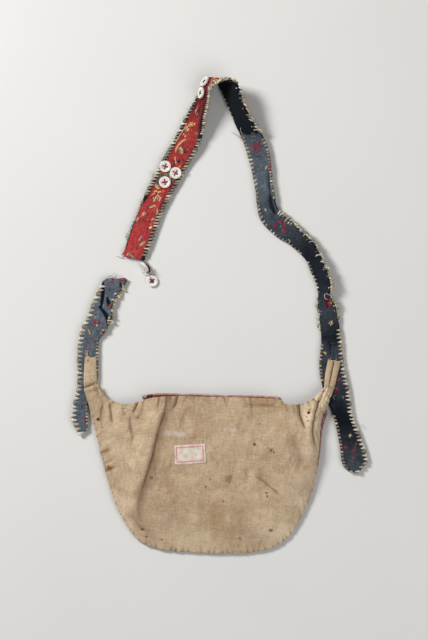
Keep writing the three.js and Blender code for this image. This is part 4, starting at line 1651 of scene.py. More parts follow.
    def label(self) -> None:
        """Small paper label stuck on the back, with softly torn edges."""
        width, height = PaperFinish.width, PaperFinish.height
        cos, sin = math.cos(LABEL.turn), math.sin(LABEL.turn)
        across = np.linspace(0, 1, LABEL.steps[0] + 1)[:, None]
        up = np.linspace(0, 1, LABEL.steps[1] + 1)[None, :]
        x, y = np.broadcast_arrays((across - 0.5) * width, (up - 0.5) * height)
        border = np.minimum(np.minimum(across, 1 - across) * width, np.minimum(up, 1 - up) * height)
        torn = np.exp(-border / LABEL.torn_reach)
        x = x + torn * LABEL.torn[0] * SoftNoise(71, 1.7).at(x, y)
        y = y + torn * LABEL.torn[1] * SoftNoise(72, 1.9).at(x, y)
        spot_x = LABEL.centre[0] + x * cos - y * sin
        spot_y = LABEL.centre[1] + x * sin + y * cos
        bent = np.maximum(SoftNoise(73, 7).at(x, y), LABEL.least_curl)
        curl = LABEL.curl * np.exp(-border / LABEL.curl_reach) * bent
        z = self.height(spot_x, spot_y) + LABEL.gap + curl + 0.05 * SoftNoise(74, 3).at(x, y)
        middle = np.stack([spot_x, spot_y, z], axis=-1)
        lay = np.stack(np.broadcast_arrays(across * width, up * height), axis=-1)
        piece = cloth_sheet(middle, LABEL.cloth, lay)
        dress(piece, "blank_label", self.paper, ["paper_label"])

    def stitches(self) -> None:
        """Whip stitches round the seam, threads over the rim and the binding, and the hem's stitches."""
        work = ThreadWork()
        dice = np.random.default_rng(81)
        shares = np.linspace(0, 1, CURVE_STEPS)
        runs = self.lengths(self.seam, shares)
        for run in self.stitch_spots(self.seam, self.stitch_pitch, SEAM_SEED):
            u = np.interp(run, runs, shares)
            work.lay(self.whip_path(float(u)), WHIP_WIDTHS, dice.choice(WHIP_DYES))
        for row in np.linspace(*RIM_ROWS, RIM_COUNT):
            width = RIM_WIDTH * dice.uniform(0.7, 1.2)
            work.lay(self.rim_path(row / LAST_SECTION), width, dice.choice(RIM_DYES))
        for row in range(1, len(self.trim_rim) - len(TRIM_COLUMNS), 2):
            path = self.trim_rim[row + np.arange(len(TRIM_COLUMNS)), TRIM_COLUMNS]
            dye = dice.choice(TRIM_DYES)
            work.lay(path, TRIM_WIDTH * dice.uniform(0.5, 1.2), dye)
        for x in np.arange(*CORNER_PIXELS):
            spot = np.array([x, CORNER_LINE[0] + CORNER_LINE[1] * (x - CORNER_LINE[2])])
            dye = dice.choice(CORNER_DYES)
            path = np.column_stack([PHOTO.plan(spot + CORNER_STITCH[:, :2]), CORNER_STITCH[:, 2]])
            work.lay(path, CORNER_WIDTH * dice.uniform(0.7, 1.2), dye)
        for x in np.arange(*HEM_PIXELS):
            start = PHOTO.plan([(x, HEM_Y + 0.25 * dice.uniform(-1, 1))])[0]
            end = start + np.array([HEM_STITCH, dice.uniform(-0.2, 0.2)])
            path = np.linspace(start, end, len(HEM_HEIGHTS))
            z = self.height(path[:, 0], path[:, 1]) + HEM_HEIGHTS
            work.lay(np.column_stack([path, z]), HEM_WIDTH, Dye.RUST)
        work.build("seam_stitches", self.thread)

    def near_seam(self, u: float, inset: float) -> Array:
        """Point on the back's outside at a distance in from its seam.

        Args:
            u: Share of the way round.
            inset: Distance in from the seam.

        Returns:
            The point.
        """
        share = np.array(u)
        width = float(np.hypot(*(self.drawn_seam(share) - self.mouth.at(share))[:2]))
        return self.surface(share, np.array(1 - inset / width))

    def rim_path(self, u: float) -> Array:
        """Path of one stitch from the back's edge over the upturned edge of the front.

        Args:
            u: Share of the way round.

        Returns:
            Points along the stitch.
        """
        edge = self.near_seam(u, RIM_INSET)
        top = self.front_edge(np.array(u * LAST_SECTION)) * LEVEL + RIM_TOP * UP
        over = top + self.outward(np.array(u)) * RIM_OVER
        arch = 0.5 * (edge + top) + RIM_ARCH * UP
        return np.array([edge, arch, top, *(over - drop * UP for drop in RIM_DROPS)])

    def whip_path(self, u: float) -> Array:
        """Path of one whip stitch from the top of the back round the seam edge to the front panel.

        Args:
            u: Share of the way round.

        Returns:
            Points along the stitch.
        """
        starts = [self.near_seam(u, inset) for inset in WHIP_INSETS]
        way = self.outward(np.array(u))
        return np.array([starts[k] + out * way + up * UP for k, out, up in WHIP_POINTS])

    def build(self) -> None:
        """Makes every piece of the pouch."""
        self.front()
        self.back()
        self.binding()
        self.tab("left_tab", "neck_tab_left", LEFT_TAB, slit=0, seed=61)
        self.tab("right_tab", "neck_tab_right", RIGHT_TAB, slit=1.5, seed=51)
        self.label()
        self.stitches()


# Creases across the tabs by the left neck, with painted shade in their valleys.
TAB_FOLDS = (
    Fold((83.6, 388.4, 90, 386.4, 98, 381.6), -0.5, 0.8, 3, 3, shade_and_grime=0.62, spread=0.6, fade=0.9),
    Fold((87, 390.4, 91, 388, 96.6, 384.6), -0.4, 0.6, 2.5, 2.5, shade_and_grime=0.45, spread=0.5, fade=0.9),
    Fold((86.4, 372, 90, 373.6, 95, 373), -0.1, 0.25, 4, 4, shade_and_grime=0.12, spread=1),
)
LEFT_TAB = (
    (-107.4, -65.2, -119.4, -66.8), (-107.6, -55, -119.6, -55), (-108.2, -45, -119, -45),
    (-108.4, -36.6, -118.4, -36.8),
)
RIGHT_TAB = (
    (99.8, -65.4, 91.2, -64.8), (102.6, -54, 92, -53.2), (104.6, -46, 93.4, -45.4),
    (105.6, -41, 94.6, -39),
)

# Long end of the strap from its tail to its broken end: right x y, left x y and lift of the right edge.
LONG_STRAP = (
    (121, -138.5, 115, -137.5, 0), (125.5, -132.5, 109.5, -133.5, 0), (129, -126.5, 107, -128, 0),
    (123.5, -108, 104.5, -109.5, 0), (116, -87.5, 99, -87, 0), (113, -66, 91, -67.5, 0),
    (108, -43, 87.5, -44.5, 0), (106, -20, 89, -22, 0), (102.5, 1, 87, 0, 1), (100, 10.5, 86, 10.5, 4),
    (96, 18.5, 86.5, 19, 6), (97, 26, 84.5, 27, 7), (94, 37.5, 80.5, 37, 8), (88.5, 51, 76.5, 46.5, 7),
    (82, 63.5, 69.5, 54.5, 5), (73, 71.5, 60.5, 62.5, 5), (63, 81.5, 51.5, 67.5, 3),
    (53.5, 89.5, 43, 74.5, 2), (49, 97, 36, 83.5, 2), (47.5, 106.5, 33, 95, 2),
    (45.5, 118.5, 31.5, 109, 2), (44.5, 131, 28.5, 125, 2), (42.5, 144.5, 24.5, 140, 2),
    (37.5, 156, 20.5, 152.5, 4), (31, 165, 15, 164.5, 9), (25.5, 174.5, 10.5, 175.5, 13),
    (21, 185, 6, 186.5, 15.5), (17.5, 196, 2, 195.5, 17), (13, 203.5, -1, 201.5, 18.5),
    (7, 206, -4.5, 206, 19.5), (1, 204.5, -9, 207.5, 19), (-5, 201, -13.5, 205.5, 18),
    (-8.5, 196, -17, 199, 17), (-9.5, 187, -21.5, 188, 15), (-12.5, 173, -30, 173.5, 10),
    (-15, 158.5, -37.5, 158.5, 5), (-20, 145, -45.5, 144.5, 2), (-28, 131, -53, 130.5, 0),
    (-36, 116.5, -60.5, 116.5, 0), (-44, 102.5, -67, 102.5, 0), (-51, 88, -73, 88, 0),
    (-56.5, 73, -79, 73.5, 0), (-61.5, 59.5, -82.5, 61, 0), (-66.5, 48, -86.5, 51, 0),
)

# Short end of the strap, from the tail below the left neck up to its ragged end.
SHORT_STRAP = (
    (-116, -101, -123, -104.5, 0), (-116, -91, -129.5, -91.5, 0), (-116.5, -80, -128.5, -80, 0),
    (-113, -71.5, -126.5, -71, 0), (-108.5, -62.5, -124.5, -62, 0), (-107, -49, -124.5, -49, 0),
    (-107, -33, -124.5, -33, 0), (-106, -22, -123.5, -21, 0), (-100, -13, -121, -12, 0.8),
    (-95, -3.5, -116.5, -3, 1.6), (-94.5, 6.5, -112.5, 7.5, 1.6), (-91, 15.5, -108.5, 17, 0.8),
    (-85.5, 23.5, -104.5, 25, 0), (-81, 31.5, -101, 32.5, 0),
)

# Folds of the long strap, with painted shade in their valleys.
LONG_FOLDS = (
    Fold(
        (266.6, 168, 267.4, 176, 267.9, 184, 268.8, 192, 269.4, 200, 272.4, 211, 276.4, 218),
        0.9, 0.8, 4, 2.2, shade_and_grime=0.9, spread=0.9, lead=0.15, fade=0.85,
    ),
    Fold((336, 404, 340, 412, 344.5, 421, 349, 432), 0.3, 1, 4, 5, shade_and_grime=0.7, spread=2.4, lead=0.25),
    Fold((332.6, 398, 335.6, 404, 339.4, 410), 0.6, 0.6, 3, 3, shade_and_grime=0.75, spread=0.8, lead=0.2),
    Fold((343, 396.5, 341.6, 403, 339.6, 410), 0.6, 0.6, 3, 3, shade_and_grime=0.7, spread=0.8, lead=0.2),
    Fold(
        (268.4, 193, 266, 201, 266.6, 208, 270.6, 214, 274.4, 219),
        0.5, 0.6, 3, 4, shade_and_grime=0.85, spread=3, lead=0.12, fade=0.8,
    ),
    Fold((327.6, 340, 328.4, 348, 328.8, 359), 0.6, 0.8, 3, 3, shade_and_grime=0.95, spread=1.2, lead=0.1, fade=0.8),
    Fold((338, 340, 330, 342, 322.5, 343), 0.5, 0.8, 4, 4, shade_and_grime=0.9, spread=3, lead=0.1),
    Fold((300, 240, 306, 250, 313, 262), 0.3, 0.8, 4, 6, shade_and_grime=0.4, spread=2.2, lead=0.3),
)
# Slits where the short strap's cloth has parted: pixel route and width. They sink the cloth and are painted
# near-black as shade.
SHORT_GAPS = (
    ((103.6, 283.6, 103.3, 291, 102.6, 299, 101.4, 307.4), 2.2),
    ((99.4, 307, 103.4, 311, 107, 316.4, 108.8, 322.4, 109.2, 329.4), 2.3),
    ((107.6, 297.8, 108.6, 302, 109.6, 307.4), 2),
    ((120.6, 283.2, 121.4, 285.2, 122.4, 287.6), 1.5),
)
# Folds of the short strap; two carry painted shade in their valleys.
SHORT_FOLDS = (
    Fold((103.4, 284.5, 103, 292, 102.4, 300, 101.4, 307.6), 0.5, -0.6, 4, 4, fade=0.9),
    Fold((109.2, 328.4, 109.4, 321, 108, 314.6, 104, 310.4, 99.8, 307.6), -0.5, -0.9, 3, 6, fade=0.9),
    Fold((95, 330, 97.4, 333, 99.6, 337), 0.4, 0.6, 3, 3, shade_and_grime=0.6, spread=0.8, lead=0.2),
    Fold((88, 329, 90, 333, 91.4, 337), 0.3, 0.4, 3, 3, shade_and_grime=0.35, spread=0.8, lead=0.2),
)


# Painted shade along the strap's two cloths: pixel x and y, and darkness.
LONG_BACK_SHADES = (
    (357, 468, 0.5), (351, 442, 0.78), (346, 425, 0.97), (343, 412, 0.95), (337, 388, 0.68),
    (331, 354, 0.6), (331, 347, 0.68), (330.5, 338, 0.93), (330, 329, 0.8), (329, 313, 0.62),
    (322, 284, 0.88), (314, 266, 0.9), (306, 254, 0.92), (294, 238, 0.7), (284, 232, 0.55),
    (268, 210, 0.45), (261, 191, 0.1), (260, 180, 0.15), (256, 150, 0.25), (248, 137, 0.42),
)
SHORT_BACK_SHADES = (
    (84, 428, 0.14), (83, 402, 0.16), (88, 372, 0.25), (92, 342, 0.02), (100, 320, 0),
)
RED_SHADES = (
    (130, 256, 0.04), (150, 208, 0.1), (166, 180, 0.22), (180, 148, 0.2), (191, 124, 0.4),
    (198, 110, 0.86), (204, 97, 0.88), (214, 82, 0.3),
)


class Edge(Enum):
    """Edge of the strap, by the sign of the way across."""

    LEFT = -1
    RIGHT = 1


class EdgeStyle(Enum):
    """How the thread lies along a run of an edge."""

    TEETH = "wedge-shaped blanket stitches"
    BARS = "straight blanket stitches"
    BEADS = "short rounded stitches"
    DOTS = "small stitches with no thread between them"
    LOOPS = "pulled and fraying loops"
    SPARSE = "a few bits left"


# Half widths of a stitch from its inner tip to the edge, as shares of the pitch.
STITCH_SHAPES = {
    EdgeStyle.TEETH: (0.08, 0.2, 0.35, 0.5, 0.52),
    EdgeStyle.BARS: (0.16, 0.26, 0.34, 0.44, 0.48),
    EdgeStyle.BEADS: (0.16, 0.27, 0.32, 0.33, 0.3),
    EdgeStyle.DOTS: (0.1, 0.2, 0.24, 0.24, 0.2),
}


@dataclass(frozen=True)
class EdgeRun:
    """Stretch of sewn edge between two pixels."""

    edge: Edge
    start: Pixel
    end: Pixel
    style: EdgeStyle
    depth: float = 3.4
    pitch: float = 3.1
    weight: float = 1
    bright: bool = False


# Half a stitch, inner tip to edge: share of the depth, offset, height, lean, and the two parts of its up.
HALF_STITCH = np.array(
    [
        (1, 0, 1, 1, 0, 1),
        (0.62, 0, 1.05, 0.6, 0, 1),
        (0.25, 0, 1.02, 0.25, 0.2, 1),
        (0, -0.12, 0.82, 0, 0.7, 0.7),
        (0, -0.42, 0, 0, 1, 0),
    ]
)
WHOLE_STITCH = np.vstack([HALF_STITCH, HALF_STITCH[-2::-1] * [1, 1, -1, 1, 1, -1]])
STITCH_LIFT = 0.12
STITCH_FLAT = 0.34

# Dyes of the edge threads, and how often the bright and the dimmer runs take each.
EDGE_DYES = (Dye.WHITE, Dye.CREAM, Dye.ECRU, Dye.DUSK)
BRIGHT_SHARES = (0.4, 0.45, 0.15, 0)
DIM_SHARES = (0.1, 0.4, 0.35, 0.15)
LOOP_DYES = (Dye.CREAM, Dye.WHITE, Dye.STRAW, Dye.ECRU)
LOOP_SHARES = (0.3, 0.25, 0.2, 0.25)
BIT_DYES = (Dye.CREAM, Dye.WHITE, Dye.GREY, Dye.ECRU)

# Points along one loop and along one torn bit, and steps of the threads that run along an edge.
LOOP_POINTS = 11
BIT_POINTS = 8
TIE_STEP = 0.75
LOOSE_STEP = 0.7


@dataclass
class EdgeSewing:
    """Thread along one stretch of a strap's edge."""

    strap: "Strap"
    run: EdgeRun
    work: ThreadWork
    dice: np.random.Generator
    start: float
    end: float

    def spots(self, step: float, uneven: float) -> Iterator[tuple[float, float]]:
        """Uneven distances along the strap, with its half width at each.

        Args:
            step: Mean distance between them.
            uneven: Most that one is off its place.

        Returns:
            Each distance with the half width.
        """
        for s in np.arange(self.start, self.end, step):
            s = s + self.dice.uniform(-uneven, uneven)
            yield s, float(self.strap.along(self.strap.half, np.array(s)))

    def sew(self) -> None:
        """Lays the threads in the stretch's style."""
        if self.run.style is EdgeStyle.LOOPS:
            self.loops()
        elif self.run.style is EdgeStyle.SPARSE:
            self.bits()
        else:
            self.blanket()

    def blanket(self) -> None:
        """Even wedge-shaped stitches over the edge, and the thread that ties them along it."""
        strap, run, dice = self.strap, self.run, self.dice
        sign = run.edge.value
        shape = STITCH_SHAPES[run.style]
        share, offset, height, slant, out, lift = WHOLE_STITCH.T
        for s, half in self.spots(run.pitch, 0.25):
            depth = run.depth * dice.uniform(0.82, 1.12)
            ahead = s + dice.uniform(-0.45, 0.45) * slant
            away = sign * (half - depth * share - offset)
            path = strap.place(ahead, away, (strap.half_height + STITCH_LIFT) * height)
            across = strap.along(strap.across, np.array(s))
            up = unit(np.outer(sign * out, across) + np.outer(lift, strap.along(strap.normal, np.array(s))))
            wide = np.array(shape + shape[-2::-1]) * run.pitch * dice.uniform(0.88, 1.08)
            dye = dice.choice(EDGE_DYES, p=BRIGHT_SHARES if run.bright else DIM_SHARES)
            self.work.lay(path, wide, dye, up, flat=STITCH_FLAT, sides=6)
        if run.style is EdgeStyle.DOTS:
            return
        s = np.arange(self.start, self.end, TIE_STEP)
        wobble = 0.15 * SoftNoise(strap.seed + 11, 2.3).at(s)
        beat = np.cos(2 * math.pi * s / run.pitch)
        path = strap.place(s, sign * (strap.along(strap.half, s) + 0.25 + wobble), 0.35 + 0.25 * beat)
        self.work.lay(path, 0.4 + 0.1 * beat, Dye.CREAM, sides=6)

    def loops(self) -> None:
        """Loops of edge thread that have pulled loose and stand off the edge."""
        strap, weight, dice = self.strap, self.run.weight, self.dice
        sign = self.run.edge.value
        turn = np.linspace(0, 1, LOOP_POINTS)
        bow = np.sin(math.pi * turn)
        for s, half in self.spots(1, 0.5):
            out = dice.uniform(0.3, 1.7) + 1.5 * (dice.uniform() < 0.14)
            span, inner = dice.uniform(0.8, 3, 2) * weight
            skew = dice.uniform(-0.7, 0.7)
            ahead = span * (turn - 0.5) + skew * bow + 0.35 * np.sin(3 * math.pi * turn)
            late = dice.uniform(-0.9, 0.7)
            last = dice.uniform(-1.2, 1.2)
            level = np.interp(turn, [0, 0.25, 0.75, 1], [1.2, 0.9, late, last])
            path = strap.place(s + ahead, sign * (half - inner + (out + inner) * bow**0.7), level)
            dye = dice.choice(LOOP_DYES, p=LOOP_SHARES)
            self.work.lay(path, dice.uniform(0.36, 0.6) * weight, dye, sides=5)
        s = np.arange(self.start, self.end, LOOSE_STEP)
        wobble = 0.4 * SoftNoise(strap.seed + 12, 1.9).at(s)
        level = 0.5 + 0.5 * SoftNoise(strap.seed + 13, 2.4).at(s, 3)
        path = strap.place(s, sign * (strap.along(strap.half, s) + 0.1 + wobble), level)
        self.work.lay(path, 0.42 + 0.14 * SoftNoise(strap.seed + 14, 1.4).at(s), Dye.CREAM, sides=6)

    def bits(self) -> None:
        """The few bits of thread left where the edge has torn."""
        dice = self.dice
        turn = np.linspace(0, 1, BIT_POINTS)
        for s, half in self.spots(1.3, 1.2):
            away = np.linspace(-0.9, dice.uniform(0.2, 1.3), BIT_POINTS)
            away = away - 0.6 * np.sin(math.pi * turn) * dice.uniform(0, 1)
            ahead = dice.uniform(-1.5, 1.5) * turn
            level = np.linspace(1.1, dice.uniform(-0.6, 0.9), BIT_POINTS)
            path = self.strap.place(s + ahead, self.run.edge.value * (half + away), level)
            dye = dice.choice(BIT_DYES)
            self.work.lay(path, dice.uniform(0.28, 0.5), dye, sides=5)


LONG_EDGES = (
    EdgeRun(Edge.RIGHT, (359, 472), (340, 330), EdgeStyle.TEETH, 3.6, 3.4, bright=True),
    EdgeRun(Edge.RIGHT, (338, 322), (331, 296), EdgeStyle.LOOPS, weight=1.15),
    EdgeRun(Edge.RIGHT, (332, 290), (277, 213), EdgeStyle.LOOPS, weight=1.4),
    EdgeRun(Edge.RIGHT, (275, 197), (263, 138), EdgeStyle.BEADS, 2),
    EdgeRun(Edge.RIGHT, (261, 134), (242, 88), EdgeStyle.LOOPS, weight=1.25),
    EdgeRun(Edge.RIGHT, (238, 83), (209, 92), EdgeStyle.LOOPS, weight=1.45),
    EdgeRun(Edge.RIGHT, (209, 93), (203, 135), EdgeStyle.BARS, 2, 2.1, bright=True),
    EdgeRun(Edge.RIGHT, (201, 140), (145, 258), EdgeStyle.BARS, 3.8, 2.9),
    EdgeRun(Edge.LEFT, (350, 471), (334, 416), EdgeStyle.BEADS, 2),
    EdgeRun(Edge.LEFT, (322, 380), (320, 345), EdgeStyle.BEADS, 1.8),
    EdgeRun(Edge.LEFT, (324, 330), (319, 299), EdgeStyle.LOOPS),
    EdgeRun(Edge.LEFT, (318.4, 292), (308, 262), EdgeStyle.DOTS, 2.4, 3.7),
    EdgeRun(Edge.LEFT, (301, 254), (268, 229), EdgeStyle.DOTS, 2, 3.6),
    EdgeRun(Edge.LEFT, (266, 225), (246, 138), EdgeStyle.BEADS, 3, 3.4),
    EdgeRun(Edge.LEFT, (232, 117), (222, 90), EdgeStyle.DOTS, 1.6, 4.2),
    EdgeRun(Edge.LEFT, (199, 95), (145, 197), EdgeStyle.TEETH, 4.2, 3),
    EdgeRun(Edge.LEFT, (144, 200), (126, 239), EdgeStyle.SPARSE),
)
SHORT_EDGES = (
    EdgeRun(Edge.LEFT, (79.6, 434), (102.5, 285), EdgeStyle.TEETH, 4.2, 3.8, bright=True),
    EdgeRun(Edge.RIGHT, (87.3, 429), (87.5, 404), EdgeStyle.BEADS, 1.5),
    EdgeRun(Edge.RIGHT, (97.4, 384), (97.6, 340), EdgeStyle.BEADS, 2, 3),
    EdgeRun(Edge.RIGHT, (100, 338), (117, 297), EdgeStyle.LOOPS, weight=1.3),
    EdgeRun(Edge.RIGHT, (117, 297), (125, 284), EdgeStyle.LOOPS, weight=1.3),
)

# Embroidered strokes by dye: width in millimetres, then the x and y of the pixels in turn.
Strokes = dict[Dye, tuple[tuple[float, ...], ...]]
FACE_STROKES = {
    Dye.CREAM: (
        (0.8, 196, 112.8, 197.3, 110.4), (0.8, 197.2, 116.4, 197.8, 114.4, 198.8, 112.8),
        (0.7, 198.6, 107, 197, 111.4, 195.2, 114.6), (1.1, 154.4, 195.6, 156.6, 197.8, 158.6, 200.4),
        (0.8, 139.6, 217.6, 138.6, 219.8, 138, 222.2), (1, 147, 219.8, 148, 220.4),
        (1.2, 151, 220.2, 153.6, 219, 154.2, 221.4), (1.1, 130, 254, 132.4, 256.4, 134.8, 259),
        (1, 160, 178.6, 163, 177.4, 166, 177.8),
    ),
    Dye.WINE: (
        (1.5, 203.4, 101.5, 202.2, 108, 201.6, 114, 200.6, 122), (1.6, 200.6, 118, 199.6, 124, 198.4, 130),
        (1.1, 199, 104.6, 197.6, 109, 195, 113.8), (1.2, 198.6, 124, 198.8, 128, 198, 131.6),
        (2.8, 183.8, 149.8, 185.6, 150.4, 187.4, 151.8), (1.9, 181.4, 158.4, 183.6, 160.8),
        (1.5, 172.8, 158.6, 174, 161.4, 174.6, 164.8), (1.2, 214.6, 81.6, 217.4, 81.2),
    ),
    Dye.ROSE: (
        (0.7, 199.8, 103, 198.2, 108.6, 196.6, 113), (0.7, 127.4, 250, 129.4, 254, 131.6, 257.6),
    ),
    Dye.PEACH: (
        (0.7, 188, 123, 183, 131, 178, 139, 174, 146), (0.8, 184.2, 131, 186, 128.4, 188.6, 125.4),
        (0.7, 151.2, 196.4, 153.6, 194, 156, 192.6), (0.7, 139, 215.6, 137, 219.6, 135.8, 223.6),
        (1.2, 193.2, 126.6, 191.8, 124.6, 190, 121.8), (1, 194.4, 126.2, 194.9, 124.4, 195.2, 122.4),
        (1.1, 189.2, 130.8, 189.6, 129.2, 190.6, 127.8), (1, 184.8, 137.4, 186.4, 135.6),
        (1.2, 189.4, 138.7, 186, 139.5, 182, 142, 178.7, 145.6, 176.4, 150, 175.2, 156),
        (1.2, 175.2, 156, 175.3, 161, 176.9, 166.4), (1.5, 153.4, 193, 155.6, 191.4, 158.2, 190.4),
        (1.3, 156.8, 193.8, 159.2, 192.2, 161.8, 191.4), (1.5, 211, 84.2, 214, 82.6, 217.6, 82.2),
    ),
    Dye.STRAW: (
        (0.8, 189.8, 125.4, 187.6, 128, 185.4, 130.6), (0.7, 153, 203, 155, 199, 158, 195),
        (0.7, 158.4, 203, 160.4, 199, 162, 195.4),
    ),
    Dye.ORANGE: (
        (1.2, 193.8, 126, 193.4, 124, 192.8, 121.2), (1.2, 185.2, 132, 185.8, 130.6, 186.8, 129),
        (1, 191.4, 131.4, 192.2, 129.8), (1.1, 189.6, 139.6, 191.2, 137.8),
        (1.9, 177.6, 167.2, 179.4, 167, 181, 165.8), (1.3, 162.2, 190.2, 163.4, 191.4, 164.4, 193.2),
        (1.7, 151, 223.6, 151.8, 225.6), (1.6, 210.2, 82.8, 213, 80.8, 216, 80.2, 219, 80.6),
    ),
    Dye.TAN: (
        (1.2, 191.6, 127.6, 190.4, 125.8, 188.6, 124), (1.2, 187, 131.8, 187.6, 130, 188.8, 128.2),
        (1, 183.2, 135.6, 184.8, 133.4), (2.3, 178.7, 146.4, 181.1, 149.4, 181.9, 155.4),
        (2.2, 155.5, 183.4, 156.2, 186.2, 158, 188.2, 160.6, 188.6),
        (1, 152.4, 197, 154.4, 199.2, 156.4, 201), (1.2, 157, 194, 158.8, 196.4, 160.2, 199.6),
        (1.2, 149.4, 208.6, 152.4, 206.6, 155, 206, 155.8, 208.6),
        (1.7, 156.4, 207.8, 157.4, 211.4, 156.4, 215.2), (2.1, 146.2, 212, 144, 213.8, 141.4, 217.4),
        (1.6, 146.6, 240.8, 142.4, 243.6, 138.4, 247), (1.4, 127, 256.2, 127.8, 254.4, 128.8, 253.4),
    ),
    Dye.OLIVE: (
        (1.8, 194.6, 135, 196.6, 132), (0.9, 178.4, 147.8, 179.6, 151.2, 181.2, 155),
        (1, 151, 199, 153.4, 201.2), (1.4, 163, 173, 166, 174.4, 168.6, 172.8),
    ),
    Dye.LILAC: (
        (0.9, 196.8, 135.6, 197.6, 133), (0.8, 186.6, 148.8, 188.4, 150.6),
        (0.9, 142.8, 235, 140.4, 238.2, 137.6, 241.6),
    ),
    Dye.NIGHT: (
        (1.4, 183.4, 151.6, 186.2, 153.2), (2.4, 176.7, 159.8, 178.2, 161.4, 179.9, 162),
        (1.4, 145, 220.6, 145.9, 221.6), (1.3, 149, 220.6, 149.9, 221.4),
        (1.5, 146.2, 228.4, 147.4, 229.4), (1.4, 131, 248.8, 132, 249.8), (1.3, 136.6, 248.2, 137.6, 249),
        (1.1, 133, 253.8, 133.8, 254.8),
    ),
    Dye.YELLOW: (
        (0.9, 156.8, 184, 157.6, 186.4, 159.4, 187.6), (0.9, 168.6, 172.6, 170.2, 176, 170.6, 180),
    ),
    Dye.WHITE: (
        (0.8, 149.2, 207, 151.4, 207.6), (1.7, 148.4, 228.1, 150.6, 227.8, 152.2, 226.6),
    ),
}
LONG_BACK_STROKES = {
    Dye.RED: (
        (1.2, 250.6, 143.8, 253, 148, 255.6, 152), (1.3, 257.6, 139.6, 257.2, 146, 257.4, 152.6),
        (1.1, 261, 144, 260, 148, 258.4, 152.8), (1.8, 270.4, 165, 270, 168.4, 270.6, 171.4),
        (2.4, 274.8, 228, 275, 225.2, 277.4, 223.6), (2, 277.8, 222.8, 280.6, 222, 282.4, 224),
        (2, 283, 222, 284.8, 224.4, 285, 227.8), (2.4, 281.6, 229, 284, 231.2, 286.8, 230),
        (1.4, 338, 377.6, 339.4, 380, 338.4, 382.4), (1, 340.2, 379, 341.4, 381),
        (1.6, 334.8, 387, 336.4, 389.6, 335, 393), (1, 337.4, 387.8, 336.8, 391.8),
        (1.3, 343.6, 445.2, 345.4, 447.6, 346.8, 446), (1.3, 355, 442.8, 357, 444.8),
        (1.1, 356, 444.6, 353.6, 449.6, 352.4, 453.6), (1.2, 352, 456.4, 353.8, 458.4, 355, 456.4),
    ),
    Dye.WINE: (
        (0.9, 253.2, 142.6, 254.8, 147.6, 256.6, 152.6), (0.8, 259.6, 138.6, 259.8, 143, 260.6, 149.6),
        (1.2, 333, 390.6, 334.2, 394),
    ),
    Dye.OLIVE: (
        (0.6, 252, 137.4, 254.4, 136.2, 257, 136.8), (1.1, 279.8, 226, 281.6, 227),
    ),
    Dye.NIGHT: (
        (1.7, 257.2, 155.6, 258.2, 157),
    ),
    Dye.CREAM: (
        (1.5, 267.4, 165, 266.2, 168, 265.4, 170.6), (1.2, 264.2, 210.4, 265.6, 209.4, 265.8, 212),
        (0.6, 287.6, 239, 290, 240.4, 290.8, 243.4), (0.7, 298, 251.2, 300.4, 252.6, 301.6, 255),
        (0.7, 328.6, 323.8, 331, 321),
    ),
    Dye.YELLOW: (
        (1, 330, 326, 331.2, 322.8, 332.4, 319.6), (1.2, 323, 351.8, 325.4, 353.4, 325, 355.4),
        (1, 348, 436.6, 350.2, 434.8, 352.6, 436.4),
    ),
    Dye.TAN: (
        (0.8, 331.6, 325.6, 333, 322), (0.8, 349.4, 438.2, 350.8, 433),
    ),
}
SHORT_BACK_STROKES = {
    Dye.RED: (
        (2.2, 117.4, 279.9, 121.2, 279.4, 124.4, 278.2, 127.2, 278.2),
        (1.6, 109.8, 280.4, 112.2, 282.8, 114.8, 281.6), (1.6, 96.2, 319.4, 94.8, 322.6, 96, 325.6),
        (1.6, 98, 320, 99.4, 322.4, 98.4, 326), (1.6, 101.6, 331.4, 103.4, 332.6),
        (1, 85.6, 338.4, 87.4, 340.6, 89.2, 341.4), (1.1, 94, 338.8, 95.2, 341.2, 93.6, 342.8),
        (0.9, 79.6, 341.6, 81.4, 342.6), (1.1, 87.6, 348.6, 90, 348, 91.4, 350),
        (1, 88.6, 350.6, 89.2, 353.8), (1.5, 83.2, 415.6, 84.8, 418.2, 85.2, 420.2),
    ),
    Dye.WINE: (
        (1, 111.6, 279.6, 114.2, 280), (1.1, 79.8, 404.6, 82, 406.4, 81, 408.6),
    ),
    Dye.ORANGE: (
        (1.1, 95.2, 316, 95.6, 319),
    ),
    Dye.WHITE: (
        (1.9, 96.4, 325.8, 97.8, 324.8),
    ),
    Dye.YELLOW: (
        (0.9, 88.2, 329, 89.6, 332, 91, 334.6),
    ),
    Dye.OLIVE: (
        (0.8, 93.8, 328.4, 92.4, 331.4),
    ),
    Dye.RUST: (
        (1.6, 109.4, 303, 110.6, 306, 110.4, 309),
    ),
}


# Fine threads of worn satin work: half widths along one as shares, lengths, half widths, height and dyes.
FINE_TAPER = np.array([0.5, 0.9, 1, 1, 1, 0.9, 0.5])
FINE_LENGTHS = (2.5, 8)
FINE_WIDTHS = (0.1, 0.2)
FINE_HEIGHT = 1.1
FINE_MARGIN = 4
FINE_DYES = (Dye.CORAL, Dye.CORAL, Dye.ROSE, Dye.RED, Dye.WINE)

# Threads of one embroidered stroke: half widths along one, pitch, and heights above the face and backing.
SATIN_RADII = 0.24 * np.array([0.5, 0.85, 1, 1, 1, 1, 1, 0.85, 0.5])
SATIN_PITCH = 0.38
SATIN_SHARE = 0.34
SATIN_HEIGHT = 1.12
SATIN_GAP = 0.28
SATIN_FLAT = 0.8


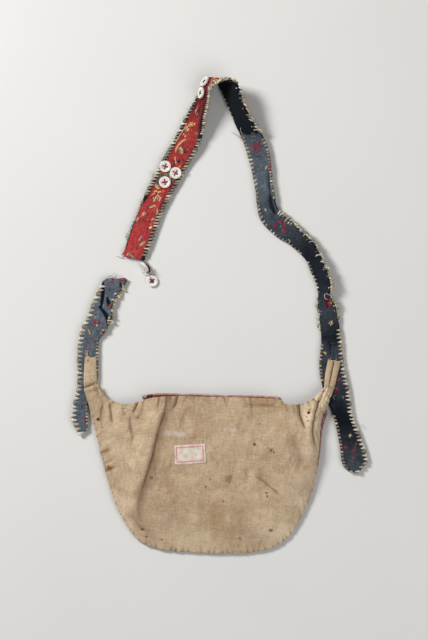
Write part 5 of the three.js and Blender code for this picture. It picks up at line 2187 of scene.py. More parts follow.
@dataclass
class Strap:
    """One end of the strap: its two cloth layers, edge stitches, embroidery and fraying."""

    name: str
    rows: Sequence[tuple[float, float, float, float, float]]
    folds: Sequence[Fold]
    edges: Sequence[EdgeRun]
    face_strokes: Strokes
    back_strokes: Strokes
    backing_cloth: Material
    face_cloth: Material
    thread: Material
    seed: int
    flat_backing: tuple[float, float]
    flat_face: tuple[float, float]
    half_height: float = 1.15
    lift: float = 0.15
    layer: float = 0.6
    hem_width: float = 3
    hem_share: float = 0.25
    least_hem: float = 0.3
    least_tip: float = 0.1
    hem_fall: float = 0.12
    turn_hem: float = 0.8
    sag: float = 0.3
    edge_waver: float = 0.25
    torn_share: float = 0.9
    torn_blend: float = 4
    torn_inset: float = 0.4
    # Most darkness of the backing, painted shade and near-black stretch together.
    most_darkness: float = 0.98
    face_layer: float = 0.55
    face_start: float = 7
    face_inset: float = 1.3
    face_level: float = 0.15
    face_puff: float = 0.6
    # Painted shade along the face's hems, and the most painted shade that the face takes.
    face_shade: float = 0.45
    most_face_shade: float = 0.9
    face_map_start: float = 20
    face_columns: int = 18
    band_blur: float = 0.4
    curve_points: int = 2400
    station_count: int = 1600
    arc_columns: int = 6
    hem_columns: int = 4
    floor_columns: int = 38
    step: float = 0.85
    face_end: Sequence[tuple[float, float]] = ((-1, -1), (1, -1))
    backing_end: Sequence[tuple[float, float]] = ((-1, 0), (1, 0))
    ragged_length: float = 11
    face_band: tuple[Pixel, Pixel] | None = None
    satin_run: tuple[Pixel, Pixel] | None = None
    satin_count: int = 120
    torn_hem: tuple[Pixel, Pixel] | None = None
    dark_stretch: tuple[Pixel, Pixel] | None = None
    gaps: Sequence[tuple[tuple[float, ...], float]] = ()
    crumpled: float = 0.35
    backing_shades: Sequence[tuple[float, float, float]] = ()
    face_shades: Sequence[tuple[float, float, float]] = ()
    worn_hole: tuple[Pixel, tuple[float, float]] | None = None
    length: float = field(init=False)
    stations: Array = field(init=False)
    middle: Array = field(init=False)
    across: Array = field(init=False)
    normal: Array = field(init=False)
    half: Array = field(init=False)

    def __post_init__(self) -> None:
        """Works out the band's frames at even steps along its middle line."""
        rows = np.array(self.rows)
        plan = np.hypot(rows[:, 0] - rows[:, 2], rows[:, 1] - rows[:, 3])
        low = self.half_height * plan / np.hypot(plan, rows[:, 4]) + self.lift
        right = SmoothCurve(np.column_stack([rows[:, 0:2], low + rows[:, 4]]))
        left = SmoothCurve(np.column_stack([rows[:, 2:4], low]))
        share = np.linspace(0, 1, self.curve_points)
        line = 0.5 * (right.at(share) + left.at(share))
        run = run_along(line)
        self.length = float(run[-1])
        self.stations = np.linspace(0, self.length, self.station_count)
        even = np.interp(self.stations, run, share)
        right_edge = right.at(even)
        left_edge = left.at(even)
        self.middle = 0.5 * (right_edge + left_edge)
        width = right_edge - left_edge
        self.half = 0.5 * np.linalg.norm(width, axis=1)
        self.across = unit(width)
        way = unit(np.gradient(right_edge, axis=0)) + unit(np.gradient(left_edge, axis=0))
        self.normal = unit(np.cross(way, width))

    def along(self, values: Array, s: Array) -> Array:
        """Values of the frames at distances along the strap.

        Args:
            values: Numbers or vectors at the stations.
            s: Distances along.

        Returns:
            The values between the stations.
        """
        if values.ndim == 1:
            return np.interp(s, self.stations, values)
        return np.stack([np.interp(s, self.stations, values[:, k]) for k in range(values.shape[1])], axis=-1)

    def relief(self, s: Array, a: Array, x: Array, y: Array) -> Array:
        """Height of waves and folds of both layers together.

        Args:
            s: Distance along the strap from its tail.
            a: Distance across, positive to its right edge.
            x: Plan x in millimetres.
            y: Plan y in millimetres.

        Returns:
            The height for each point.
        """
        wave = 0.3 * (1 + SoftNoise(self.seed, 17).at(s, a * 0.8))
        ripple = 0.2 * (1 + SoftNoise(self.seed + 1, 5.5).at(s, a * 1.3))
        creases = self.crumpled * (1 + crumple(self.seed + 20, 13, s, a * 1.2))
        return wave + ripple + creases + fold_height(self.folds, x, y)

    def place(self, s: Array, a: Array, h: Array) -> Array:
        """Points on or near the strap.

        Args:
            s: Distance along it from its tail.
            a: Distance across, positive to its right edge.
            h: Height along the normal of its face.

        Returns:
            Points in millimetres, held above the surface that the strap lies on.
        """
        s, a, h = np.broadcast_arrays(s, a, h)
        beyond = (s - np.clip(s, 0, self.length))[..., None]
        way = np.cross(self.along(self.across, s), self.along(self.normal, s))
        points = self.along(self.middle, s) - beyond * way
        points = points + self.along(self.across, s) * a[..., None]
        points = points + self.along(self.normal, s) * h[..., None]
        points[..., 2] += self.relief(s, a, points[..., 0], points[..., 1])
        points[..., 2] = np.maximum(points[..., 2], CLOTH_FLOOR)
        return points

    def locate(self, pixels: Sequence[Pixel]) -> tuple[Array, Array]:
        """Distances along and across of the places that the pixels show.

        Args:
            pixels: Places in the photograph.

        Returns:
            Distance along and distance across for each.
        """
        spots = PHOTO.plan(pixels)
        s = self.stations[::2][:, None]
        reach = np.linspace(-1, 1, 41)[None, :]
        half = self.half[::2][:, None]
        grid = self.middle[::2][:, None, :2] + self.across[::2][:, None, :2] * (reach * half)[..., None]
        found = []
        for spot in spots:
            away = np.hypot(grid[..., 0] - spot[0], grid[..., 1] - spot[1])
            row, column = np.unravel_index(np.argmin(away), away.shape)
            found.append((s[row, 0], (reach * half)[row, column]))
        pairs = np.array(found)
        return pairs[:, 0], pairs[:, 1]

    def hem_at(self, s: Array, edge: Edge) -> Array:
        """Width of the turned hem along an edge.

        Args:
            s: Distance along the strap from its tail.
            edge: Which edge.

        Returns:
            The width at each distance.
        """
        half = self.along(self.half, s)
        hem = np.minimum(self.hem_width, self.hem_share * 2 * half)
        return hem * (1 - self.torn_share * self.torn(s)) if edge is Edge.LEFT else hem

    def torn(self, s: Array) -> Array:
        """How far the left hem has torn away, from 0 to 1.

        Args:
            s: Distance along the strap from its tail.

        Returns:
            The share at each distance.
        """
        if self.torn_hem is None:
            return np.zeros(np.shape(s))
        first, last = self.locate(self.torn_hem)[0]
        return smooth_step(s, first - self.torn_blend, last + self.torn_blend)

    def backing(self) -> None:
        """Backing cloth with its hems turned over the edges of the face."""
        count = int(self.length / self.step)
        share = np.linspace(0, 1, count + 1)[:, None]
        radius = self.half_height - self.layer / 2
        arc = np.linspace(0.5, 1.5, self.arc_columns + 2)[1:-1] * math.pi
        hem_share = np.linspace(0, 1, self.hem_columns + 1)[None, :]
        floor_share = np.linspace(-1, 1, self.floor_columns + 1)[None, :]
        s = share * self.length
        half = self.along(self.half, s) + self.edge_waver * SoftNoise(self.seed + 2, 4).at(s)
        bend = np.minimum(radius, 0.3 * half)
        hems = (np.maximum(self.hem_at(s, edge), self.least_hem) for edge in Edge)
        left_tip, right_tip = (np.maximum(hem - bend, self.least_tip) for hem in hems)
        torn = self.torn(s)
        left_half = half - self.torn_inset * torn
        left_a = -left_half + bend + left_tip * (1 - hem_share)
        left_h = radius - self.hem_fall * (1 - hem_share) + 0 * half
        left_h = left_h + torn * (0.45 - radius - left_h)
        turn_a = -half + bend + bend * np.cos(arc)[None, :]
        turn_h = radius * np.sin(arc)[None, :] + 0 * half
        torn_turn = turn_h + torn * (0.22 + 0.22 * np.sin(arc)[None, :] - radius - turn_h)
        floor_a = -(left_half - bend) + (0.5 + 0.5 * floor_share) * (left_half + half - 2 * bend)
        floor_h = -radius - self.sag * (1 - floor_share**2) * np.minimum(1, half / 8)
        right_a = half - bend - right_tip * hem_share
        right_h = radius - self.hem_fall * hem_share + 0 * half
        a = np.concatenate([left_a, turn_a + half - left_half, floor_a, -turn_a[:, ::-1], right_a], axis=1)
        h = np.concatenate([left_h, torn_turn, floor_h, turn_h[:, ::-1], right_h], axis=1)
        points = self.place(s + self.ragged(a, s, self.backing_end), a, h)
        sunken = self.sunken(points)
        points[..., 2] = np.maximum(points[..., 2] - sunken, CLOTH_FLOOR)
        flap = np.ones_like(left_a)
        turned = np.full_like(turn_a, self.turn_hem)
        bared = torn * smooth_step(-floor_a, half - 5, half - 4)
        on_hem = np.concatenate([flap, turned, bared, turned, flap], axis=1)
        # Painted shade of creases, shaded stretches and slits, with the near-black stretch of cloth.
        shade_and_grime = np.maximum(fold_shade(self.folds, points[..., 0], points[..., 1]), self.dark(s, a))
        shade_and_grime = np.clip(np.maximum(shade_and_grime, sunken), 0, self.most_darkness)
        step_a, step_h = (np.diff(part, axis=1, prepend=part[:, :1]) for part in (a, h))
        lay = np.stack(np.broadcast_arrays(s, np.cumsum(np.hypot(step_a, step_h), axis=1)), axis=-1)
        numbers = {"hem": on_hem, "shade_and_grime": shade_and_grime}
        piece = cloth_sheet(points, self.layer, lay, numbers, self.holes(points, on_hem))
        node = f"{self.name}_strap_backing"
        dress(piece, f"{self.name}_backing", self.backing_cloth, [node])

    def sunken(self, points: Array) -> Array:
        """Depth of the gaps in which the cloth has parted, from 0 to 1, which also sets the painted shade in
        them.

        Args:
            points: Points of the cloth in millimetres.

        Returns:
            The depth at each point.
        """
        depth = np.zeros(points.shape[:-1])
        for route, width in self.gaps:
            line = Fold(route, 0, 0, 1, 1)
            away, along = line.place(points[..., 0], points[..., 1])
            half = width * (0.35 + 0.65 * np.sin(math.pi * np.clip(along, 0.04, 0.96)) ** 0.6)
            depth = np.maximum(depth, 1 - smooth_step(np.abs(away), 0.55 * half, 1.1 * half))
        return depth

    def ragged(self, a: Array, s: Array, end: Sequence[tuple[float, float]]) -> Array:
        """How far a layer's broken end runs past or short of the straight one.

        Args:
            a: Distance across.
            s: Distance along.
            end: Shares of the half width, and how far the end runs past there.

        Returns:
            The distance to move each point along the strap.
        """
        spots, past = np.array(end).T
        shape = np.interp(a / self.along(self.half, s), spots, past)
        teeth = 0.9 * SoftNoise(self.seed + 3, 1.7).at(a, past[0])
        teeth = teeth + 0.6 * SoftNoise(self.seed + 4, 5).at(a, past[0])
        return (shape + teeth) * smooth_step(s, self.length - self.ragged_length, self.length)

    def shaded(self, shades: Sequence[tuple[float, float, float]], s: Array, a: Array) -> Array:
        """Painted shade between the places along the strap for which it is given.

        Args:
            shades: Pixel x and y, and darkness there.
            s: Distance along the strap from its tail.
            a: Distance across, positive to its right edge.

        Returns:
            The darkness for each point.
        """
        if not shades:
            return np.zeros(np.broadcast_shapes(s.shape, a.shape))
        rows = np.array(shades)
        spots = self.locate(rows[:, :2])[0]
        order = np.argsort(spots)
        wander = 4 * SoftNoise(self.seed + 5, 7).at(s, a)
        return np.interp(s + wander, spots[order], rows[order, 2])

    def dark(self, s: Array, a: Array) -> Array:
        """Painted shade of the backing, with the stretch of cloth that has gone nearly black.

        Args:
            s: Distance along the strap from its tail.
            a: Distance across, positive to its right edge.

        Returns:
            The darkness for each point.
        """
        shade = self.shaded(self.backing_shades, s, a)
        if self.dark_stretch is None:
            return shade
        ends = self.locate(self.dark_stretch)[0]
        wander = 2 * SoftNoise(self.seed + 5, 3).at(a, s)
        inside = smooth_step(s + wander, ends[0] - 1.5, ends[0] + 1.5)
        return np.maximum(shade, 0.96 * inside * (1 - smooth_step(s, ends[1] - 3, ends[1] + 3)))

    def holes(self, points: Array, on_hem: Array) -> Array | None:
        """Faces of the backing that are worn away.

        Args:
            points: Points of the cloth in millimetres.
            on_hem: Above 0 where the hem keeps the cloth whole.

        Returns:
            One truth value for each face, or None where nothing is worn away.
        """
        if self.worn_hole is None:
            return None
        pixel, size = self.worn_hole
        centre = PHOTO.plan([pixel])[0]
        away = np.hypot((points[..., 0] - centre[0]) / size[0], (points[..., 1] - centre[1]) / size[1])
        ragged = away + 0.18 * SoftNoise(self.seed + 6, 1.5).at(points[..., 0], points[..., 1])
        gone = (ragged < 1) & (on_hem == 0)
        return gone[:-1, :-1] & gone[1:, :-1] & gone[:-1, 1:] & gone[1:, 1:]

    def face(self) -> None:
        """Face cloth, puffed a little between the hems."""
        count = int((self.length - self.face_start) / self.step)
        share = np.linspace(0, 1, count + 1)[:, None]
        s = self.face_start + share * (self.length - self.face_start)
        half = self.along(self.half, s)
        torn = self.torn(s)
        nibble = 0.8 * SoftNoise(self.seed + 7, 1.9).at(s) + SoftNoise(self.seed + 8, 6).at(s)
        left = -half + np.maximum(self.face_inset + torn * (nibble - 0.6), 0.1)
        right = half - self.face_inset
        reach = np.linspace(0, 1, self.face_columns + 1)[None, :]
        a = left + (right - left) * reach
        side = np.minimum(reach, 1 - reach)
        h = self.face_level + self.face_puff * smooth_step(side, 0.02, 0.26) + 0 * half
        points = self.place(s + self.ragged(a, s, self.face_end), a, h)
        lay = np.stack(np.broadcast_arrays(s, a + self.face_map_start), axis=-1)
        # Painted shade along the hems and over the stretches listed in the face's shades.
        shade = self.face_shade * (1 - smooth_step(side, 0.05, 0.17)) * (1 - torn)
        shade = np.clip(shade + self.shaded(self.face_shades, s, a), 0, self.most_face_shade)
        numbers = {"hem": self.banded(s, a), "shade_and_grime": shade}
        piece = cloth_sheet(points, self.face_layer, lay, numbers)
        dress(piece, f"{self.name}_face", self.face_cloth, [f"{self.name}_strap_face"])

    def banded(self, s: Array, a: Array) -> Array:
        """Where a band of other cloth crosses the face, from 0 to 1.

        Args:
            s: Distance along the strap from its tail.
            a: Distance across, positive to its right edge.

        Returns:
            The share for each point.
        """
        if self.face_band is None:
            return np.zeros_like(a)
        first, last = np.sort(self.locate(self.face_band)[0])
        ragged = s + 1.2 * SoftNoise(self.seed + 16, 2.2).at(a, 0) + 0.25 * a
        blur = self.band_blur
        begun, ended = (smooth_step(ragged, end - blur, end + blur) for end in (first, last))
        return begun * (1 - ended)

    def edge_stitches(self) -> None:
        """Cream blanket stitches and loops along the edges."""
        work = ThreadWork()
        dice = np.random.default_rng(self.seed + 9)
        for run in self.edges:
            start, end = np.sort(self.locate([run.start, run.end])[0])
            EdgeSewing(self, run, work, dice, start, end).sew()
        work.build(f"{self.name}_edge_stitches", self.thread)

    def embroidery(self) -> None:
        """Strokes of coloured thread on the face and stray ones on the backing."""
        for side, strokes, label in ((1, self.face_strokes, "face"), (-1, self.back_strokes, "backing")):
            if not strokes:
                continue
            work = ThreadWork()
            dice = np.random.default_rng(self.seed + 15)
            for dye, rows in strokes.items():
                for row in rows:
                    self.satin(work, dice, dye, row, side)
            if side > 0:
                self.fine_threads(work)
            work.build(f"{self.name}_{label}_embroidery", self.thread)

    def fine_threads(self, work: ThreadWork) -> None:
        """Thin threads of worn satin work that lie along the face where it shows.

        Args:
            work: Where the threads go.
        """
        dice = np.random.default_rng(self.seed + 17)
        count = len(FINE_TAPER)
        first, last = np.sort(self.locate(self.satin_run)[0])
        for start in dice.uniform(first, last, self.satin_count):
            inner = max(0.5, float(self.along(self.half, start)) - FINE_MARGIN)
            s = start + np.linspace(0, dice.uniform(*FINE_LENGTHS), count)
            a = dice.uniform(-inner, inner) + dice.uniform(-0.4, 0.4) * (s - start)
            path = self.place(s, np.clip(a, -inner, inner), np.full(count, FINE_HEIGHT))
            dye = dice.choice(FINE_DYES)
            work.lay(path, dice.uniform(*FINE_WIDTHS) * FINE_TAPER, dye)

    def satin(
        self, work: ThreadWork, dice: np.random.Generator, dye: Dye, row: Sequence[float], side: float
    ) -> None:
        """One stroke as a few threads laid side by side.

        Args:
            work: Where the threads go.
            dice: Seeded chance.
            dye: Thread colour.
            row: Width of the stroke, and the x and y of its pixels in turn.
            side: 1 on the face, -1 on the backing.
        """
        width, *route = row
        turn = np.linspace(0, 1, len(SATIN_RADII))
        s, a = SmoothCurve(np.column_stack(self.locate(route))).at(turn).T
        level = SATIN_HEIGHT if side > 0 else -(self.half_height + SATIN_GAP)
        threads = max(2, round(width / SATIN_SHARE))
        up = self.along(self.normal, s) * side
        path = self.place(s, a, np.full(len(turn), level))
        across = unit(np.cross(unit(np.gradient(path, axis=0)), up))
        spread = np.sin(math.pi * np.clip(turn * 0.94 + 0.03, 0, 1)) ** 0.6
        for k in range(threads):
            shift = (k - (threads - 1) / 2) * SATIN_PITCH + dice.uniform(-0.1, 0.1)
            strand = path + across * (shift * spread)[:, None] + up * dice.uniform(0, 0.12)
            first, last = dice.uniform((0, 0.78), (0.22, 1))
            strand = SmoothCurve(strand).at(first + (last - first) * turn)
            work.lay(strand, SATIN_RADII, dye, up, flat=SATIN_FLAT)

    def seat(self, x: float, y: float, diameter: float, height: float, gap: float) -> tuple[Array, Array]:
        """Where a button sewn on the face sits.

        Args:
            x: Plan x of its centre.
            y: Plan y of its centre.
            diameter: Button diameter.
            height: Button height.
            gap: Clear height left over the face.

        Returns:
            The middle of its underside and the direction that it faces.
        """
        s = self.stations[::2][:, None]
        a = np.linspace(-1, 1, 25)[None, :] * self.half[::2][:, None]
        normal = self.normal[::2]
        top = self.middle[::2][:, None, :] + self.across[::2][:, None, :] * a[..., None]
        top = top + (normal * self.half_height)[:, None, :]
        away = np.hypot(top[..., 0] - x, top[..., 1] - y)
        row, column = np.unravel_index(np.argmin(away), away.shape)
        facing = normal[row]
        offset = top - top[row, column]
        rise = offset @ facing
        flat = np.linalg.norm(offset - rise[..., None] * facing, axis=-1)
        near = (flat < diameter / 2) & (np.abs(rise) < height)
        clear = max(0, float(rise[near].max()))
        return top[row, column] + facing * (clear + gap), facing

    def build(self) -> None:
        """Makes every piece of this end of the strap."""
        self.backing()
        self.face()
        self.edge_stitches()
        self.embroidery()


# Thread that ties the hanging buttons: dye, half width, then pixel x, pixel y and height of each point.
BUTTON_THREADS = (
    (Dye.BLUE, 0.55, 141.4, 258.6, 1.4, 143, 260.6, 1.8, 145, 262.8, 3.2, 147.2, 265.4, 3.8),
    (Dye.GREY, 0.45, 142.8, 258, 1.6, 144.6, 260.4, 2, 146.2, 263, 3.4, 147.8, 266.4, 3.6),
    (
        Dye.WINE, 0.5, 146.4, 264.2, 4.4, 148, 265.8, 4.2, 149.4, 268.4, 3.2, 149, 271, 2,
        147.4, 271.4, 1.6, 146.6, 269.6, 2.6, 147, 267, 3.8,
    ),
    (Dye.UMBER, 0.5, 146.6, 265.4, 4.8, 147.8, 267.2, 4.4, 148.8, 269.8, 3, 148, 272, 1.6),
    (Dye.WINE, 0.42, 147, 263.8, 4, 148.8, 266.2, 3.8, 150, 269.4, 2.4, 149.6, 272.6, 1.6),
    (
        Dye.WHITE, 0.4, 152.6, 267.4, 2.6, 151.2, 271, 2.4, 148.6, 274.4, 2, 145.8, 274.8, 1.4,
        143.4, 273.4, 1, 142.2, 271.6, 0.8,
    ),
    (Dye.GREY, 0.36, 147.6, 272.2, 1.4, 148.6, 274.6, 1.8, 149.8, 276.6, 2.4, 151, 278.8, 2.5),
)

# Single threads out of the strap's edges and ends, in the same way.
LOOSE_THREADS = (
    (Dye.GREY, 0.3, 124, 257.6, 1.6, 121, 257.8, 0.8, 118.6, 257, 0.4, 116, 256.2, 0.4),
    (Dye.GREY, 0.25, 122.6, 256.4, 1.2, 121.6, 254.6, 0.8, 122.8, 253, 1.4),
    (Dye.CREAM, 0.28, 128.4, 232.6, 1.8, 126.4, 235, 1, 126, 238.4, 0.6, 127.6, 240, 0.8),
    (Dye.CREAM, 0.3, 186, 119.6, 6, 184, 118.4, 5.4, 182.8, 117.4, 4.6, 183.6, 116.6, 4),
    (Dye.GREY, 0.3, 243.4, 136.4, 4, 238, 136.2, 3, 235, 134, 2.2, 231.4, 131.8, 1.6),
    (Dye.CREAM, 0.32, 242.4, 134.4, 4.4, 240.6, 131, 4.6, 240.8, 127.2, 5, 242.6, 125.8, 5.4),
    (Dye.TAN, 0.4, 244.6, 137.2, 4, 242, 139.8, 3.4, 239.8, 139, 3, 241.6, 137, 3.4),
    (Dye.BLUE, 0.3, 246, 133.4, 5.2, 245, 129.6, 5.6, 247.2, 128.6, 6),
    (Dye.CREAM, 0.32, 109, 277.4, 2, 112.4, 275, 2.4, 114.8, 272.4, 2.2),
    (Dye.CREAM, 0.32, 107.6, 279.4, 2.2, 108.6, 276.2, 2.6, 111, 275.4, 2.4),
    (Dye.BLUE, 0.26, 104.4, 281.8, 1.6, 105.6, 279.4, 2, 104.8, 277.8, 1.8),
    (Dye.CREAM, 0.28, 126.4, 283, 1.6, 128.4, 281.4, 1.4, 129.4, 280.2, 0.8),
    (Dye.CREAM, 0.28, 361.6, 427.6, 1.8, 363.2, 426, 1.6, 362.6, 424.6, 1.2),
    (Dye.CREAM, 0.26, 264.6, 136.6, 4.2, 266.2, 135, 4.2, 265.6, 133.4, 3.6),
    (Dye.CREAM, 0.24, 272.4, 178, 3.4, 274, 177.4, 3, 273.4, 178.6, 2.4),
    (Dye.CREAM, 0.26, 331.6, 281, 6.6, 333.6, 280.6, 6, 334, 278.8, 5.4),
    (Dye.CREAM, 0.26, 333, 288.6, 5.6, 335.6, 289.4, 4.6, 336, 291.4, 3.6),
    (Dye.HEMP, 0.16, 98.6, 398, 5.4, 97.6, 400.6, 5.4, 96.4, 402.8, 5),
    (
        Dye.WHITE, 0.36, 153.6, 177, 2.4, 151, 175.4, 2.6, 150.2, 172.8, 2.6, 152.2, 171.8, 2.8,
        153.2, 173.8, 2.8,
    ),
    (Dye.CREAM, 0.36, 155.6, 177.6, 2.6, 154.4, 174, 3.2, 156.8, 171.4, 3.4, 158.2, 172.8, 3),
    (Dye.LILAC, 0.4, 182.2, 172.4, 3, 185.2, 171.4, 3.2, 187, 173.6, 2.8, 184.6, 174.8, 2.6),
    (Dye.ROSE, 0.34, 181, 174.6, 3, 184, 173.6, 3.2, 186.2, 175, 2.6),
    (Dye.WHITE, 0.38, 175.6, 183.2, 2.8, 178.4, 182.6, 3, 180.2, 180.2, 2.8, 177.8, 179.2, 2.8),
    (Dye.CREAM, 0.36, 166.6, 198.6, 2.4, 168.8, 196.6, 2.8, 170.8, 195.4, 2.4),
    (Dye.CREAM, 0.34, 161, 160.6, 2.4, 162, 158.2, 2.8, 164.6, 158.6, 2.6),
    (Dye.CREAM, 0.5, 86.6, 356.6, 4.4, 86.2, 352.6, 4, 86, 349.6, 3.6),
    (Dye.CREAM, 0.4, 88, 356.4, 4.4, 87.6, 353.6, 4.2, 87.9, 351.2, 3.8),
    (Dye.TAN, 0.25, 330.4, 360.6, 4.6, 329.8, 358.8, 4.2, 330.6, 357.6, 3.8),
    (Dye.TAN, 0.25, 335.4, 361.4, 4.6, 336.2, 359.4, 4.2, 335.6, 358.4, 3.6),
    (Dye.CREAM, 0.4, 334.6, 399.4, 3, 333.2, 397, 3.2, 334.8, 395.4, 3.4, 336.2, 397.2, 3.2),
    (Dye.CREAM, 0.4, 341, 398.4, 3, 342.6, 396.2, 3.2, 343.6, 397.8, 3.2, 341.8, 399.4, 3),
    (Dye.LILAC, 0.5, 325, 294, 7, 324.2, 296.4, 7.2, 325.4, 298.8, 7, 327.4, 299.6, 6.6),
    (Dye.CREAM, 0.55, 326, 293.6, 7.6, 328.6, 294.6, 8.2, 331.6, 297, 8.2, 333.8, 301, 7.4),
)


@dataclass
class Buttons:
    """White four-hole buttons, sewn on the strap or hanging on a loose thread."""

    strap: Strap
    shell: Material
    thread: Material
    diameter: float = 10.2
    height: float = 2.1
    rim: float = 1.7
    dish: float = 0.4
    hole_radius: float = 0.8
    hole_offset: float = 1.35
    sides: int = 48
    hole_sides: int = 14
    slope: float = 0.6
    bevel: float = 0.55
    bevel_steps: int = 4
    bevel_angle: float = 30
    smooth_angle: float = 50
    dish_ends: tuple[float, float] = (-3.6, -2.2)
    dish_floor: float = 0.6
    thread_width: float = 0.36
    thread_pitch: float = 0.45
    thread_reach: float = 1.08
    thread_lift: float = 0.24
    lap_lift: float = 0.16
    thread_dive: float = 1.6
    gap: float = 0.3
    sewn: tuple[tuple[str, float, float, float, float, Dye], ...] = (
        ("button_cluster_1", -48, 130, 0.5, 0, Dye.RED),
        ("button_cluster_2", -38.6, 124, 0.2, 0, Dye.RED),
        ("button_cluster_3", -48.5, 116.6, 0.9, 0, Dye.RED),
        ("button_apex_1", -12.2, 203, 0.6, 0.3, Dye.UMBER),
        ("button_apex_2", -14.6, 194, 0.3, 0.35, Dye.UMBER),
    )
    loose: tuple[tuple[str, float, float, float, float, float], ...] = (
        ("dangling_button_1", -67.3, 41.3, 5.55, 1.92, 0.66),
        ("dangling_button_2", -59.6, 29.8, 0.05, 0, 0),
    )

    def pattern(self) -> Piece:
        """One button, modelled round the origin with its underside on the surface.

        Returns:
            The button to copy.
        """
        radius = self.diameter / 2 * MM
        deselect_all()
        bpy.ops.mesh.primitive_cylinder_add(
            vertices=self.sides, radius=radius, depth=self.height * MM, location=(0, 0, self.height * MM / 2)
        )
        piece = bpy.context.object
        bpy.ops.object.transform_apply(location=True, rotation=True, scale=True)
        choose_faces(piece, np.array([face.normal.z > 0.9 for face in piece.data.polygons]))
        bpy.ops.mesh.inset(thickness=self.rim * MM, depth=0)
        bpy.ops.mesh.inset(thickness=self.slope * MM, depth=-self.dish * MM)
        bpy.ops.object.mode_set(mode="OBJECT")
        soften = piece.modifiers.new("soft_edges", "BEVEL")
        soften.width = self.bevel * MM
        soften.segments = self.bevel_steps
        soften.limit_method = "ANGLE"
        soften.angle_limit = math.radians(self.bevel_angle)
        bpy.ops.object.modifier_apply(modifier=soften.name)
        self.drill(piece)
        activate(piece)
        bpy.ops.object.shade_smooth_by_angle(angle=math.radians(self.smooth_angle))
        return piece

    def drill(self, piece: Piece) -> None:
        """Cuts the four thread holes.

        Args:
            piece: The button.
        """
        drills = []
        offset = self.hole_offset * MM
        for x in (offset, -offset):
            for y in (offset, -offset):
                deselect_all()
                bpy.ops.mesh.primitive_cylinder_add(
                    vertices=self.hole_sides,
                    radius=self.hole_radius * MM,
                    depth=3 * self.height * MM,
                    location=(x, y, self.height * MM / 2),
                )
                drills.append(bpy.context.object)
        for drill in drills:
            activate(piece)
            cut = piece.modifiers.new("hole", "BOOLEAN")
            cut.operation = "DIFFERENCE"
            cut.object = drill
            bpy.ops.object.modifier_apply(modifier=cut.name)
        for drill in drills:
            bpy.data.objects.remove(drill, do_unlink=True)

    def turn(self, facing: Array, spin: float) -> Quaternion:
        """Turn that lays a button's top towards a direction, after a spin."""
        lean = Vector((0, 0, 1)).rotation_difference(Vector(facing.tolist()))
        return lean @ Quaternion((0, 0, 1), spin)

    def place_copy(self, pattern: Piece, name: str, spot: Array, turn: Quaternion) -> None:
        """Copy of the pattern at its place.

        Args:
            pattern: The button to copy.
            name: The CAD node that the copy stands for.
            spot: The middle of its underside in millimetres.
            turn: Its turn.
        """
        mesh = pattern.data.copy()
        count = len(mesh.vertices)
        places = np.zeros(count * 3, dtype=np.float32)
        mesh.vertices.foreach_get("co", places)
        places = places.reshape(-1, 3) / MM
        from_axis = np.hypot(places[:, 0], places[:, 1])
        inner = smooth_step(-from_axis, *self.dish_ends) * (places[:, 2] > self.dish_floor)
        store_numbers(mesh, "dish", inner)
        mesh.transform(Matrix.Translation(Vector((spot * MM).tolist())) @ turn.to_matrix().to_4x4())
        piece = bpy.data.objects.new(name, mesh)
        bpy.context.collection.objects.link(piece)
        dress(piece, f"white_{name}", self.shell, [name])

    def sewing(self, work: ThreadWork, spot: Array, turn: Quaternion, dye: Dye, strands: int) -> None:
        """Crossed threads through a button's holes.

        Args:
            work: Where the threads go.
            spot: The middle of the button's underside.
            turn: The button's turn.
            dye: Thread colour.
            strands: Threads on each diagonal.
        """
        frame = np.array(turn.to_matrix())
        top = self.height - self.dish
        share = np.linspace(-1, 1, 9)
        for lap, angle in enumerate((0.25 * math.pi, 0.75 * math.pi)):
            way = np.array([math.cos(angle), math.sin(angle), 0])
            side = np.array([-way[1], way[0], 0])
            reach = self.hole_offset * math.sqrt(2) * self.thread_reach
            for k in range(strands):
                shift = (k - (strands - 1) / 2) * self.thread_pitch
                local = share[:, None] * reach * way + shift * side
                dive = self.thread_dive * np.abs(share) ** 5
                local[:, 2] = top + self.thread_lift + self.lap_lift * lap - dive
                work.lay(local @ frame.T + spot, self.thread_width, dye, sides=6)

    def build(self) -> None:
        """Makes the buttons, the threads through them and the loose thread."""
        pattern = self.pattern()
        work = ThreadWork()
        for name, x, y, spin, lean, dye in self.sewn:
            spot, facing = self.strap.seat(x, y, self.diameter, self.height, self.gap + 1.5 * lean)
            facing = unit(facing + lean * unit(facing * LEVEL))
            turn = self.turn(facing, spin)
            self.place_copy(pattern, name, spot, turn)
            self.sewing(work, spot, turn, dye, 2)
        for name, x, y, z, tilt, facing_angle in self.loose:
            spot = np.array([x, y, z])
            way = np.array([math.cos(facing_angle), math.sin(facing_angle), 0])
            facing = math.sin(tilt) * way + math.cos(tilt) * UP
            turn = self.turn(facing, 0)
            self.place_copy(pattern, name, spot, turn)
            self.sewing(work, spot, turn, Dye.WINE, 3)
        work.build("button_sewing_thread", self.thread)
        hung = ThreadWork()
        hung.trail(BUTTON_THREADS, 28, 7)
        piece = hung.build("loose_button_thread", self.thread)
        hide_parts("button_thread")
        bpy.data.objects.remove(pattern, do_unlink=True)


def loose_threads(thread: Material) -> None:
    """Makes the single threads that have come out of the strap's edges and ends.

    Args:
        thread: Their finish.
    """
    work = ThreadWork()
    work.trail(LOOSE_THREADS, 14, 6, 0.55)
    work.build("loose_threads", thread)


@dataclass(frozen=True)
class BindingFinish(WovenFinish):
    """Red binding whose folded edge has worn pale."""

    bare: Colour = linear(190, 152, 140)

    def marks(self, board: NodeBoard, place: Socket, colour: Socket) -> Socket:
        """Pale wear along the fold and at the ends."""
        return board.blend(board.read("worn"), colour, self.bare)


